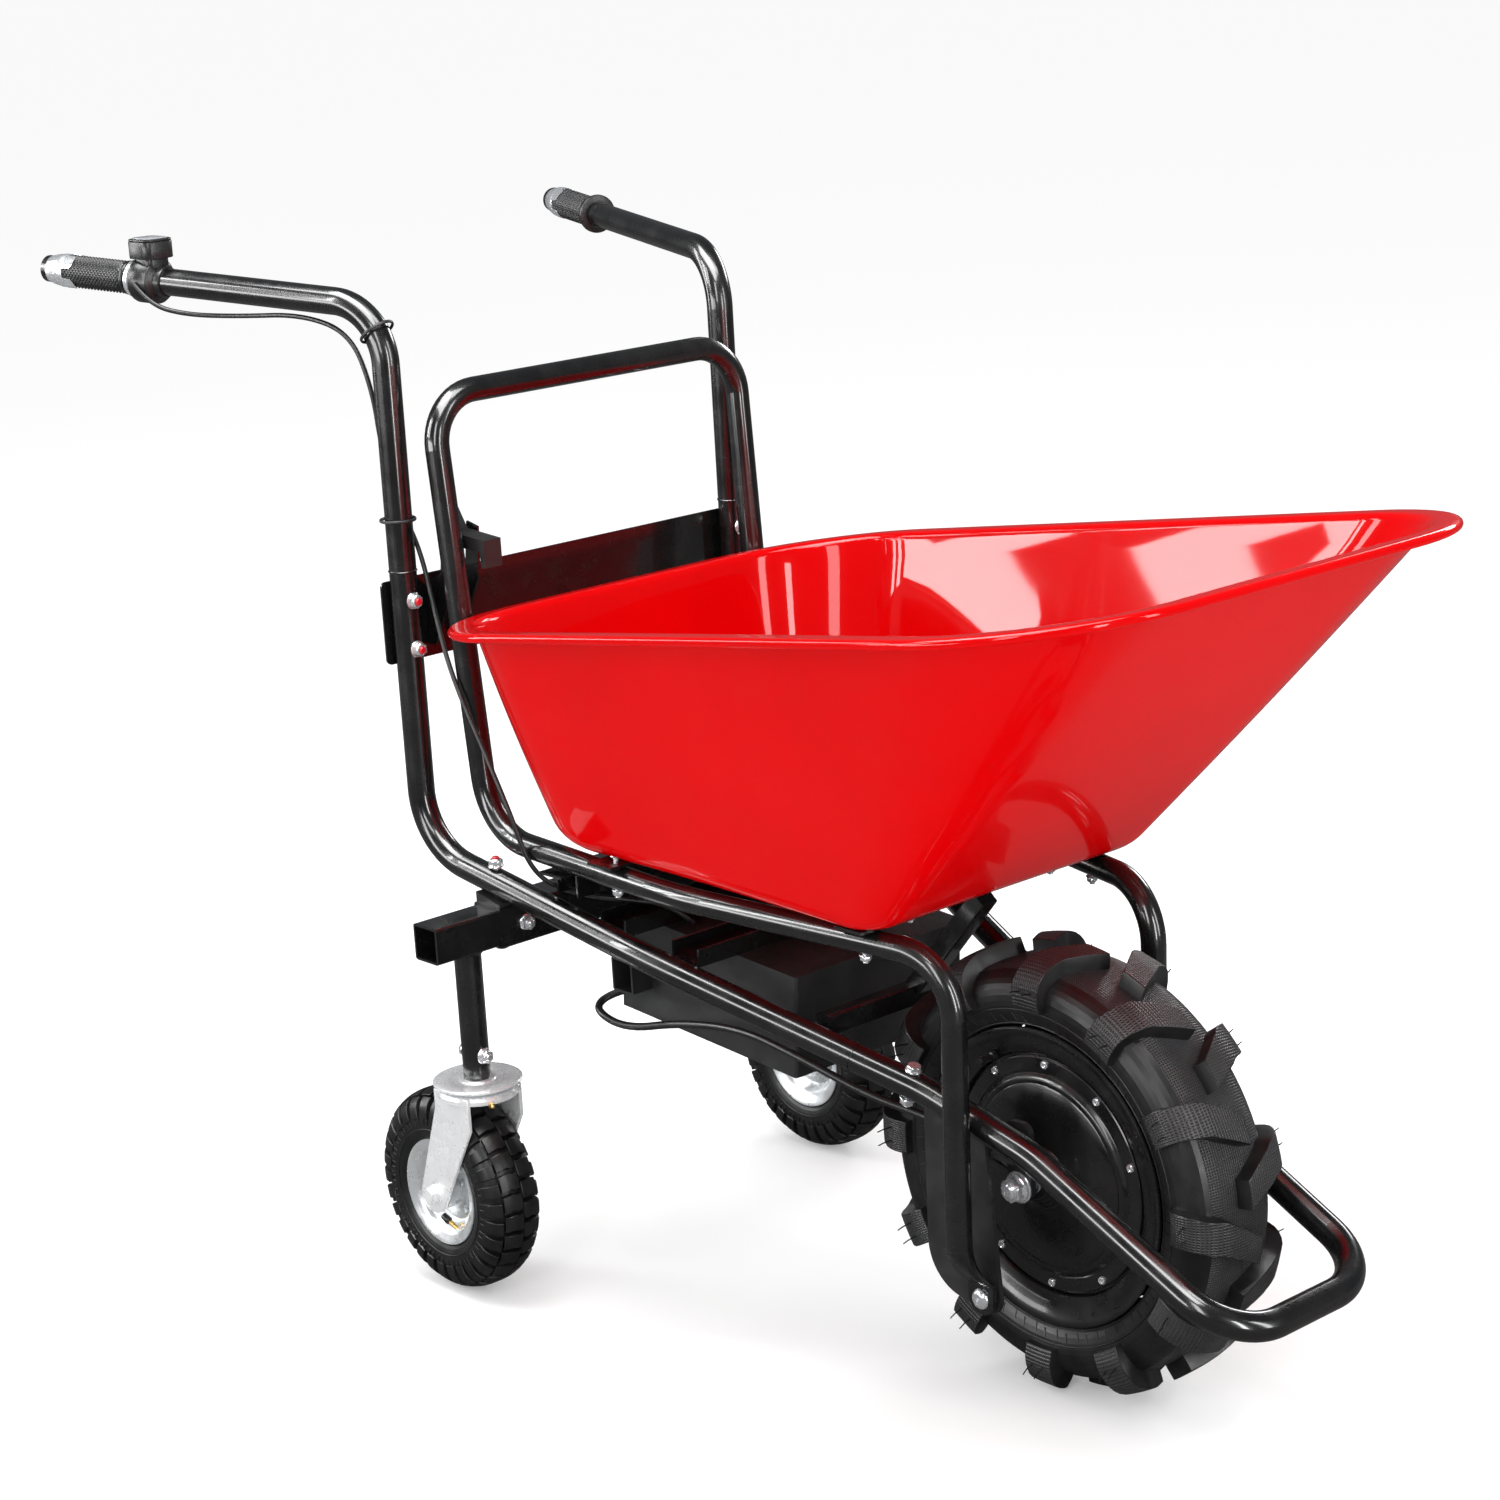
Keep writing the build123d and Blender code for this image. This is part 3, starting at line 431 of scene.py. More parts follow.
def hexagon(flats, centre, axis, height, start=0.0, chamfer=0.12):
    """A hexagon head or nut with chamfered corners, as rings of points limited to a round edge."""
    around = 24
    axis = Vector(axis).normalized()
    first, second = basis(axis)
    rim = flats / 2
    rings = [(0.0, 0.0), (rim * 0.95, 0.0), (None, chamfer * rim), (None, height - chamfer * rim),
             (rim * 0.95, height), (0.0, height)]
    points = []
    for limit, along in rings:
        for j in range(around):
            turn = 2 * pi * j / around
            edge = rim / cos((turn + pi / 6) % (pi / 3) - pi / 6)
            radius = edge if limit is None else min(edge, limit)
            spoke = first * cos(turn) + second * sin(turn)
            points.append(Vector(centre) + spoke * radius + axis * (start + along))
    return points, ring_faces(len(rings), around)


def weld_bead(shape, path, radius, closed=False):
    """A weld's overlapping scales along a path."""
    ripple = 1.6 * MM
    steps_per_scale = 6
    dense = []
    for a, b in zip(path, path[1:] + ([path[0]] if closed else [])):
        steps = max(1, int((b - a).length / (ripple / 3)))
        dense += [a.lerp(b, i / steps) for i in range(steps)]
    dense.append(dense[0] if closed else path[-1])
    count = max(1, round(len(dense) / steps_per_scale))

    def outline(t, angle):
        scale = 1 - (t * count) % 1.0
        return radius * (0.80 + 0.25 * scale)
    shape.add(*sweep(dense, outline, not closed))


def ring_path(centre, axis, radius, count=40):
    """Points round a circle about an axis."""
    first, second = basis(axis)
    turns = [2 * pi * i / count for i in range(count)]
    return [Vector(centre) + first * radius * cos(turn) + second * radius * sin(turn) for turn in turns]


def islands(node):
    """The separate solids of a CAD node, each as an array of its points."""
    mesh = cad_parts[node].data
    bm = bmesh.new()
    bm.from_mesh(mesh)
    bmesh.ops.remove_doubles(bm, verts=bm.verts, dist=1e-6)
    found = []
    seen = set()
    for start in bm.verts:
        if start in seen:
            continue
        group = [start]
        seen.add(start)
        for vert in group:
            for edge in vert.link_edges:
                other = edge.other_vert(vert)
                if other not in seen:
                    seen.add(other)
                    group.append(other)
        found.append(np.array([v.co for v in group]))
    bm.free()
    return found


# ================================================================ camera, floor and lights
CAMERA_PLACE = at(2015.4, -2134.7, 1414.9)
CAMERA_TURN = (48.92, 14.86, -3.33)             # yaw, pitch and roll in degrees
CAMERA_LENS = 79.79
CAMERA_SENSOR = 36


def make_camera():
    """A camera turned by its yaw from +Y, its pitch down and its roll about the view."""
    yaw, pitch, roll = [radians(angle) for angle in CAMERA_TURN]
    ahead = Vector((-sin(yaw) * cos(pitch), cos(yaw) * cos(pitch), -sin(pitch)))
    right = Vector((cos(yaw), sin(yaw), 0))
    up = right.cross(ahead)
    turned_right = right * cos(roll) + up * sin(roll)
    turned_up = up * cos(roll) - right * sin(roll)
    lens = bpy.data.cameras.new("camera")
    lens.sensor_width = CAMERA_SENSOR
    lens.lens = CAMERA_LENS
    camera = place_in_scene("camera", lens)
    turn = Matrix((turned_right, turned_up, -ahead)).transposed().to_4x4()
    camera.matrix_world = Matrix.Translation(CAMERA_PLACE) @ turn
    bpy.context.scene.camera = camera


def split_for_gloss(tree, seen, mirrored, output):
    """Show one shader to the eye and another to the glossy surfaces that mirror it."""
    path = tree.nodes.new("ShaderNodeLightPath")
    mix = tree.nodes.new("ShaderNodeMixShader")
    tree.links.new(path.outputs["Is Glossy Ray"], mix.inputs["Fac"])
    tree.links.new(seen, mix.inputs[1])
    tree.links.new(mirrored, mix.inputs[2])
    tree.links.new(mix.outputs["Shader"], tree.nodes[output].inputs["Surface"])


def floor_paper():
    """White studio paper that glows a little, so that it stays even; gloss mirrors it dimly."""
    m = Nodes("floor_paper").set(Roughness=0.9, Specular_IOR_Level=0.0)
    m.set(Base_Color=(0.86, 0.86, 0.86, 1), Emission_Color=(1, 1, 1, 1), Emission_Strength=0.22)
    dark = m.node("ShaderNodeBsdfDiffuse", Color=(0.10, 0.10, 0.10, 1))
    split_for_gloss(m.tree, m.shader.outputs["BSDF"], dark.outputs["BSDF"], "Material Output")
    return m.material


def make_floor():
    half = 60.0
    corners = [(-half, -half, 0), (half, -half, 0), (half, half, 0), (-half, half, 0)]
    mesh = bpy.data.meshes.new("floor")
    mesh.from_pydata(corners, [], [(0, 1, 2, 3)])
    mesh.materials.append(floor_paper())
    floor = place_in_scene("floor", mesh)
    floor.location.z = -0.5 * MM                # just clear of the tyres


def softbox(name, place, target, width, height, power, gloss_only=False):
    """A rectangular light aimed at the target; one for gloss only lights no rough surface."""
    light = bpy.data.lights.new(name, "AREA")
    light.shape = "RECTANGLE"
    light.size = width
    light.size_y = height
    light.energy = power
    made = place_in_scene(name, light)
    made.location = place
    made.rotation_euler = (Vector(target) - Vector(place)).to_track_quat("-Z", "Y").to_euler()
    made.visible_diffuse = not gloss_only


def make_world():
    """Even pale light all round, with a dimmer surround for glossy surfaces to mirror."""
    world = bpy.data.worlds.new("studio")
    bpy.context.scene.world = world
    world.use_nodes = True
    tree = world.node_tree
    even = tree.nodes["Background"]
    dim = tree.nodes.new("ShaderNodeBackground")
    for background, color, strength in ((even, (1, 1, 1, 1), 0.85), (dim, (0.9, 0.95, 1, 1), 0.11)):
        background.inputs["Color"].default_value = color
        background.inputs["Strength"].default_value = strength
    split_for_gloss(tree, even.outputs["Background"], dim.outputs["Background"], "World Output")


bpy.context.scene.view_settings.view_transform = "Standard"
make_camera()
make_floor()
make_world()
middle = at(-200, 0, 450)
softbox("top", (0.4, -0.3, 3.0), middle, 2.4, 0.8, 60)
softbox("camera_side", (1.9, -3.4, 2.2), middle, 0.8, 2.2, 50)
softbox("front", (3.9, 0.9, 1.5), middle, 0.5, 2.6, 45)
softbox("rear", (-3.2, -1.7, 1.7), middle, 0.5, 2.6, 45)
softbox("far_side", (-0.6, 3.4, 1.9), middle, 2.0, 0.6, 40)

# panels and strips that only show as reflections in paint, metal and rubber
softbox("overhead_panel", (0.1, -1.0, 3.1), middle, 3.4, 1.3, 170, gloss_only=True)
softbox("low_panel", (-0.9, -3.7, 0.9), middle, 2.8, 0.7, 60, gloss_only=True)
softbox("front_strip", (3.7, -0.9, 1.0), middle, 0.4, 2.2, 50, gloss_only=True)
tray_far_wall = at(-100, 280, 700)
for n, x in enumerate((-3.4, -2.8, -2.3, -1.5)):
    softbox(f"streak_{n}", (x, -3.2, 2.3), tray_far_wall, 0.22, 1.8, 26, gloss_only=True)


# ================================================================ tray
FLOOR_REAR, FLOOR_FRONT = at(-545, 0, 492.9), at(-76, 0, 473.4)
RIM_REAR, RIM_FRONT = at(-603, 0, 707.2), at(263, 0, 821.6)
FLOOR_HALVES, FLOOR_RADII = (0.212, 0.182), (0.090, 0.030)          # each rear, then front
RIM_HALVES, RIM_RADII = (0.268, 0.302), (0.135, 0.146)
ARC_STEPS = 18
RUN_STEPS = 14
HEEL = 28 * MM              # curve between the floor and the walls
BROW = 7 * MM               # curve between the walls and the rim
FLANGE = 27 * MM            # width of the rim, to its rolled edge
CURL = 4.4 * MM             # radius of the rolled edge
WALL_BULGE = 2 * MM
TRAY_SHEET = 1.8 * MM


def rounded_outline(rear, front, halves, radii):
    """Points and outward directions round a four-sided plan with rounded corners, in matching order.

    The halves are its half widths and the radii its corners, each the rear one and then the front one.
    """
    corners = [(front, 1, halves[1], radii[1]), (rear, 1, halves[0], radii[0]),
               (rear, -1, halves[0], radii[0]), (front, -1, halves[1], radii[1])]
    corners = [(end + Vector((0, s * half, 0)), radius) for end, s, half, radius in corners]
    out = []
    for n, (corner, radius) in enumerate(corners):
        before = (corners[n - 1][0] - corner).normalized()
        after = (corners[(n + 1) % 4][0] - corner).normalized()
        half_angle = before.angle(after) / 2
        centre = corner + (before + after).normalized() * (radius / sin(half_angle))
        reach = radius / tan(half_angle)
        start = (corner + before * reach - centre).normalized()
        end = (corner + after * reach - centre).normalized()
        arc = []
        for i in range(ARC_STEPS + 1):
            direction = start.slerp(end, i / ARC_STEPS)
            arc.append((centre + direction * radius, direction))
        if out:
            out += run_between(out[-1], arc[0], RUN_STEPS)
        out += arc
    return out + run_between(out[-1], out[0], RUN_STEPS)


def run_between(a, b, steps):
    """Points and directions on the way from a to b, both ends left out."""
    shares = [i / steps for i in range(1, steps)]
    return [(a[0].lerp(b[0], t), a[1].lerp(b[1], t).normalized()) for t in shares]


def arc_through(a, corner, b, steps):
    """Points of a smooth curve from a to b that leaves towards the corner, both ends left out."""
    shares = [i / steps for i in range(1, steps)]
    return [a * (1 - t) ** 2 + corner * 2 * t * (1 - t) + b * t * t for t in shares]


def tray_column(foot, top, outward, middle, rim_up):
    """The sheet's section in one direction: floor, heel, wall, brow, rim and rolled edge."""
    climb = (top - foot).normalized()
    inner = foot + (middle - foot).normalized() * HEEL
    start = foot + climb * HEEL
    end = top - climb * BROW
    crown = top + rim_up * MM
    side = climb.cross(rim_up.cross(outward)).normalized()
    side = side if side.dot(outward) > 0 else -side
    flat_rim = FLANGE - CURL

    column = [middle.lerp(inner, share) for share in (0.35, 0.7, 0.9, 1.0)]
    column += arc_through(inner, foot, start, 8)
    column += [start.lerp(end, i / 14) + side * (WALL_BULGE * sin(pi * i / 14)) for i in range(15)]
    column += arc_through(end, crown, crown + outward * BROW, 5)
    column += [crown + outward * (BROW + (flat_rim - BROW) * i / 3) for i in range(4)]
    for i in range(1, 13):
        turn = radians(90 - 250 * i / 12)
        column.append(crown + outward * (flat_rim + CURL * cos(turn)) + rim_up * (CURL * sin(turn) - CURL))
    return column


def make_tray():
    """One sheet lofted from the floor's outline to the rim's, with its rolled edge."""
    floor = rounded_outline(FLOOR_REAR, FLOOR_FRONT, FLOOR_HALVES, FLOOR_RADII)
    rim = rounded_outline(RIM_REAR, RIM_FRONT, RIM_HALVES, RIM_RADII)
    rim_up = (RIM_FRONT - RIM_REAR).normalized().cross(Vector((0, -1, 0)))
    rim_up = rim_up if rim_up.z > 0 else -rim_up
    middle = (FLOOR_REAR + FLOOR_FRONT) / 2
    columns = [tray_column(foot, top, outward, middle, rim_up)
               for (foot, _), (top, outward) in zip(floor, rim)]
    rows = len(columns[0])
    count = len(columns)
    faces = [tuple(j * rows for j in range(count))]
    for j in range(count):
        k = (j + 1) % count
        faces += [(j * rows + i, k * rows + i, k * rows + i + 1, j * rows + i + 1) for i in range(rows - 1)]
    shape = Shape().add([point for column in columns for point in column], faces)
    tray = shape.piece("tray_shell", "tray_paint", "tray_body", "tray_paint", ["tray"], 50)
    sheet = tray.modifiers.new("sheet", "SOLIDIFY")
    sheet.thickness = TRAY_SHEET
    sheet.offset = 1


make_tray()


# ================================================================ drive tyre
WHEEL = at(0, 0, AXLE_Z / MM)
LUGS = 12
# (half width, radius) down from the crown to the bead
TYRE_PROFILE = [(0, 203.5), (14, 203.3), (27, 202), (38, 198.5), (46, 192), (51.5, 183), (53.5, 173),
                (52.5, 163), (49.5, 154), (46, 148.5), (44.2, 146.6)]


class Carcass:
    """A tyre's outer profile, walked from the crown outwards by arc length u in metres."""

    def __init__(self, profile, centre):
        curve = [Vector((y * MM, r * MM)) for y, r in profile]
        self.curve = [curve[0]]
        for before, a, b, after in zip([curve[0]] + curve, curve, curve[1:], curve[2:] + [curve[-1]]):
            for i in range(1, 6):
                self.curve.append(catmull(before, a, b, after, i / 5))
        self.lengths = [0.0]
        for a, b in zip(self.curve, self.curve[1:]):
            self.lengths.append(self.lengths[-1] + (b - a).length)
        self.centre = centre

    def at(self, u):
        """Profile point and outward normal, both as (y, r), at arc length u; negative is the -Y side."""
        reach = min(abs(u), self.lengths[-1] - 1e-6)
        i = int(np.searchsorted(self.lengths, reach, side="right")) - 1
        a, b = self.curve[i], self.curve[i + 1]
        here = a.lerp(b, (reach - self.lengths[i]) / (self.lengths[i + 1] - self.lengths[i]))
        ahead = (self.curve[min(i + 3, len(self.curve) - 1)] - self.curve[max(i - 2, 0)]).normalized()
        normal = Vector((-ahead.y, ahead.x))
        side = -1 if u < 0 else 1
        return Vector((side * here.x, here.y)), Vector((side * normal.x, normal.y))

    def point(self, u, arc, height=0.0):
        """A point on the tyre: u across, arc metres round at the crown from the top, and a height."""
        place, normal = self.at(u)
        place = place + normal * height
        turn = arc / self.curve[0].y
        return self.centre + Vector((place.y * sin(turn), place.x, place.y * cos(turn)))

    def round(self):
        return 2 * pi * self.curve[0].y


def catmull(p0, p1, p2, p3, t):
    """A point between p1 and p2 on the smooth curve through all four."""
    return (p1 * 2 + (p2 - p0) * t + (p0 * 2 - p1 * 5 + p2 * 4 - p3) * t * t
            + (p1 * 3 - p0 - p2 * 3 + p3) * t ** 3) / 2


def carcass_skin(shape, tyre, steps_round, split, marks):
    """The tyre's plain skin; between +split and -split it takes the second of the two marks."""
    full = tyre.lengths[-1]
    crosswise = 36
    cross = [full * (2 * i / crosswise - 1) for i in range(crosswise + 1)]
    arcs = [tyre.round() * j / steps_round for j in range(steps_round + 1)]
    for left, right in zip(cross, cross[1:]):
        mark = marks[0] if abs(left + right) / 2 > split else marks[1]
        spots = [(u, arc) for arc in arcs for u in (left, right)]
        shape.add([tyre.point(u, arc) for u, arc in spots], strip_faces(len(arcs), 2), mark, spots)


def tread_bar(shape, tyre, stations, marks, draft=0.0022, sink=0.004, round_off=0.0009):
    """A raised bar of rubber across a tyre, through (u, arc, half width, height) stations.

    Its top takes the second mark; its drafted sides and ends take the first.
    """
    across = 5
    width = across + 1
    n = len(stations)
    offsets = [2 * i / across - 1 for i in range(width)]
    top = [(u, arc + half * offset, height) for u, arc, half, height in stations for offset in offsets]
    top_uv = [(u, arc) for u, arc, height in top]
    shape.add([tyre.point(*spot) for spot in top], strip_faces(n, width), marks[1], top_uv)

    edge = [(0, i) for i in range(width)] + [(j, across) for j in range(1, n)]
    edge += [(n - 1, i) for i in range(across - 1, -1, -1)] + [(j, 0) for j in range(n - 2, 0, -1)]
    forward = 1 if stations[-1][0] > stations[0][0] else -1
    points = []
    steps_down = ((0.0, 0.0), (round_off * 0.7, round_off * 0.3), (round_off, round_off), (draft, None))
    for spread, drop in steps_down:
        for j, i in edge:
            u, arc, half, height = stations[j]
            push = spread * (1 if i == across else -1 if i == 0 else 0)
            shift = spread * forward * (-1 if j == 0 else 1 if j == n - 1 else 0)
            level = -sink if drop is None else height - drop
            points.append(tyre.point(u + shift, arc + half * offsets[i] + push, level))
    m = len(edge)
    faces = [(r * m + i, (r + 1) * m + i, (r + 1) * m + (i + 1) % m, r * m + (i + 1) % m)
             for r in range(len(points) // m - 1) for i in range(m)]
    shape.add(points, faces, marks[0])


def whisker(shape, base, direction, length):
    """A moulding vent's rubber hair, bent a little by the tyre's handling."""
    radius = 0.8 * MM
    direction = Vector(direction).normalized()
    first, _ = basis(direction)
    shares = [i / 5 for i in range(6)]
    path = [base + direction * length * t + first * length * 0.22 * t * t for t in shares]
    path[0] = path[0] - direction * 2 * MM
    shape.add(*sweep(path, lambda t, angle: radius * (1 - 0.3 * t)))


def make_drive_tyre():
    """The lug tyre: staggered lugs on both shoulders, with a moulded mesh on its tread whose lines carry
    painted highlights and whose hollows carry painted shade.
    """
    tyre = Carcass(TYRE_PROFILE, WHEEL)
    shape = Shape()
    tread_edge = 41 * MM
    carcass_skin(shape, tyre, 180, tread_edge, (0, 1))
    pitch = tyre.round() / LUGS
    for n in range(LUGS):
        for side in (-1, 1):
            start = pitch * (n + (0.5 if side > 0 else 0.0))
            shape_lug(shape, tyre, start, side)
    sidewall_marks(shape, tyre)
    materials = ["drive_rubber", "tread"]
    return shape.piece("lug_tyre", materials, "drive_wheel", "drive_rubber", ["drive_tyre"], 40)


def shape_lug(shape, tyre, start, side):
    """One lug: a squared buttress on the shoulder that sweeps forward to the centre line."""
    lug_height = 0.0158
    inner, outer = -0.006, 0.0735
    knee, shoulder = 0.030, 0.045
    steps = 16
    stations = []
    for i in range(steps + 1):
        u = inner + (outer - inner) * i / steps
        inward = max(0.0, (knee - u) / (knee - inner))
        lean = 0.020 * inward + 0.008 * min(1.0, max(0.0, (0.055 - u) / 0.03))
        half = 0.0150 - 0.0030 * inward + 0.0040 * max(0.0, (u - shoulder) / 0.03)
        height = lug_height
        if u > shoulder:
            height = lug_height - 0.0085 * ((u - shoulder) / (outer - shoulder)) ** 1.3
        stations.append((side * u, start + lean, half, height))
    tread_bar(shape, tyre, stations, (0, 1))

    clear_of_ground = 4 * MM
    for offset in (-0.007, 0.008):
        base = tyre.point(side * 0.060, start + offset, 0.010)
        out = base - tyre.point(side * 0.050, start + offset, -0.02)
        if base.z + out.normalized().z * 0.015 > clear_of_ground:
            whisker(shape, base, out, 0.019)


def sidewall_marks(shape, tyre):
    """Raised dashes in pairs near the bead, and two fine rings."""
    pairs = 36
    half, height, slant = 0.0007, 0.0008, 0.003
    for side in (-1, 1):
        for n in range(pairs):
            for shift, u0, u1 in ((0.0, 0.083, 0.091), (0.016, 0.086, 0.093)):
                arc = tyre.round() * n / pairs + shift
                dash = [(side * u0, arc, half, height), (side * u1, arc + slant, half, height)]
                tread_bar(shape, tyre, dash, (0, 0), 0.0003, 0.0008, 0.0002)
        for u in (0.079, 0.0955):
            bead_ring(shape, tyre, side * u, 120, 0.0009)


def bead_ring(shape, tyre, u, steps, radius):
    """A fine moulded ring round a sidewall."""
    ring = [tyre.point(u, tyre.round() * i / steps) for i in range(steps + 1)]
    shape.add(*sweep(ring, lambda t, angle: radius, False))


make_drive_tyre()

# ================================================================ hub motor
def make_hub():
    """The hub motor's rim, its two stepped covers, their screws and the valve."""
    axis = (0, 1, 0)
    rim = [(104, 26), (104, 34), (117.5, 34.2), (118, 38), (119.5, 40.4), (124, 41.6), (129, 43.4),
           (133, 45.2), (138, 47.4), (143, 48.9), (145.4, 48.6), (146, 47), (145.3, 45.4), (142, 44.2),
           (136, 42.3), (131, 40), (127.5, 33), (123, 26.5), (122, 24)]
    shape = Shape()
    for s in (-1, 1):
        shape.turned(rim, WHEEL, axis, 144, s)
    shape.turned([(122, -24), (122, 24)], WHEEL, axis, 96)
    shape.piece("motor_rim", "hub_paint", "drive_wheel", "hub_paint", ["hub_rim"], 40)

    face = [(21.1, 28), (60, 30), (98, 34.2), (112, 34.2), (114.6, 35), (115, 36.2), (115, 38.2), (114, 39),
            (101, 39), (100, 38.4), (99, 38.4), (98, 39.2), (96.6, 41), (94.6, 42.2), (92, 42.6),
            (89.5, 42.2), (88, 42.9), (76, 44.2), (60, 45.4), (44, 46.2), (32, 46.6), (30.6, 47),
            (30, 48), (30, 49.2), (29, 50), (26.2, 50.2), (25.6, 51), (25.6, 53), (24.6, 53.8),
            (22.4, 54), (21.8, 54.8), (21.8, 56.6), (20.8, 57.4), (18.6, 57.6), (18, 58.4), (18, 60),
            (17, 61), (11.6, 61), (11.6, 38.5)]
    shape = Shape()
    for s in (-1, 1):
        shape.turned(face, WHEEL, axis, 144, s)
    shape.piece("motor_covers", "hub_paint", "drive_wheel", "hub_paint", ["hub_covers"], 28)

    screws = Shape()
    cover_face = 39.1 * MM
    head = [(0.0, 2.0), (0.9, 2.0), (1.2, 1.2), (1.25, 0.8), (2.0, 0.8), (2.05, 2.1), (2.5, 2.4),
            (3.3, 2.2), (3.9, 1.4), (4.0, 0.0)]
    for points in islands("cover_screws"):
        middle = Vector(points.mean(0))
        s = 1 if middle.y > 0 else -1
        screws.turned(head, (middle.x, s * cover_face, middle.z), (0, s, 0), 24)
    screws.piece("cover_screw_heads", "zinc", "drive_wheel", "zinc", ["cover_screws"], 30)

    low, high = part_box("drive_valve")
    root = Vector(((low.x + high.x) / 2, high.y, (low.z + high.z) / 2))
    stem = [(0.0, 21), (3.6, 21), (4.4, 20), (4.5, 14.6), (3.8, 14), (3.3, 13.4), (3.2, 5), (4.6, 4),
            (4.9, 0)]
    shape = Shape().turned(stem, root, (0, -1, 0), 24)
    shape.piece("drive_valve_stem", "drive_rubber", "drive_wheel", "drive_rubber", ["drive_valve"], 30)


make_hub()


# ================================================================ casters
CASTER_PROFILE = [(0, 100.6), (9, 100.2), (17, 97.5), (23.5, 92.5), (28, 85), (30, 77), (29.8, 69),
                  (28, 62), (26, 58), (23.6, 56.4)]
CASTER_PITCHES = 30
STEM_S, STEM_Y = -592, 256              # a swivel's stem: its station and distance from the centre
WHEEL_S, WHEEL_Z = -637, 108            # a caster wheel's centre, trailing behind the stem


def stem_at(side, z):
    return at(STEM_S, side * STEM_Y, z)


def caster_hub(side):
    return at(WHEEL_S, side * STEM_Y, WHEEL_Z)


def make_caster_tyre(name):
    """A small tyre of two rows of wavy blocks, with shoulder bars and fine ribs beside them."""
    tyre = Carcass(CASTER_PROFILE, caster_hub(SIDES[name]))
    shape = Shape()
    carcass_skin(shape, tyre, 120, 0.0, (0, 0))
    pitch = tyre.round() / CASTER_PITCHES
    for n in range(CASTER_PITCHES):
        for side in (-1, 1):
            start = pitch * (n + (0.5 if side > 0 else 0.0))
            caster_block(shape, tyre, side, start, pitch)
    for side in (-1, 1):
        for u in (0.0520, 0.0640):
            bead_ring(shape, tyre, side * u, 96, 0.0007)
    return shape.piece(f"caster_tread_{name}", "caster_rubber", f"caster_wheel_{name}", "caster_rubber",
                       [f"caster_tyre_{name}"], 38)


def caster_block(shape, tyre, side, start, pitch):
    """One pitch of the tread on one side, from the centre line out to the sidewall."""
    block = []
    for i, sway in enumerate((0.0, 0.8, -0.8, 0.2, 0.9)):
        u = 0.0012 + 0.0165 * i / 4
        block.append((side * u, start + sway * MM, pitch * 0.35, 0.0068))
    tread_bar(shape, tyre, block, (0, 0), 0.0012, 0.002, 0.0007)

    shoulder = []
    for i in range(6):
        u = 0.0205 + 0.0195 * i / 5
        height = 0.0062 - 0.0042 * (i / 5) ** 1.5
        shoulder.append((side * u, start + pitch * 0.28, pitch * 0.30, height))
    tread_bar(shape, tyre, shoulder, (0, 0), 0.001, 0.002, 0.0007)

    for shift in (-0.2, 0.2):
        arc = start + pitch * (0.28 + shift)
        rib = [(side * 0.0415, arc, 0.0011, 0.0011), (side * 0.0470, arc, 0.0009, 0.0007)]
        tread_bar(shape, tyre, rib, (0, 0), 0.0004, 0.001, 0.0003)


def make_caster_rim(name):
    """The pressed two-part rim with its hub sleeve ends and four bolts, and its bent valve."""
    s = SIDES[name]
    centre = caster_hub(s)
    wheel = f"caster_wheel_{name}"
    pressing = [(13.5, 29.0), (17.5, 29.0), (18.5, 28), (18.5, 12), (20, 10.2), (24, 9.2), (30, 8.4),
                (34.5, 8.8), (38, 12), (40.5, 18), (43.5, 22.2), (48, 24.4), (52, 25.6), (55, 27.2),
                (56.6, 27.4), (57, 26.2), (56.2, 25.0), (53, 23.6)]
    sleeve_end = [(5.3, 27.5), (13.0, 27.8), (13.5, 29)]
    shape = Shape()
    for out in (-1, 1):
        shape.turned(pressing, centre, (0, 1, 0), 96, out)
        shape.turned(sleeve_end, centre, (0, 1, 0), 48, out)
        for n in range(4):
            turn = radians(45 + 90 * n)
            spot = centre + Vector((27 * MM * cos(turn), out * 9.0 * MM, 27 * MM * sin(turn)))
            shape.add(*hexagon(8 * MM, spot, (0, out, 0), 5 * MM))
    shape.piece(f"{wheel}_pressing", "caster_paint", wheel, "caster_paint", [f"caster_rim_{name}"], 34)

    turn = radians(-62)
    inward = Vector((-cos(turn), 0, -sin(turn)))
    across = Vector((-sin(turn), 0, cos(turn)))
    root = centre + Vector((41 * MM * cos(turn), s * 15 * MM, 41 * MM * sin(turn)))
    bend = root + inward * 9 * MM
    elbow = rounded_path([root, bend, bend - across * 13 * MM + Vector((0, s, 0)) * 5 * MM], [6 * MM])
    brass = Shape().add(*sweep(elbow, lambda t, angle: 2.4 * MM))
    brass.piece(f"caster_valve_{name}", "brass", wheel, "caster_paint", (), 40)

    away = (elbow[-1] - elbow[-2]).normalized()
    cap = Shape()
    cap.turned([(0, 11), (3, 11), (3.8, 9.6), (4, 1), (3.4, 0), (0, 0)], elbow[-1], away, 24)
    cap.turned([(2.4, -1), (5.4, -1.5), (6.4, -4.5)], root + inward * 0.5 * MM, inward, 24)
    cap.piece(f"caster_valve_cap_{name}", "black_plastic", wheel, "caster_rubber", (), 40)


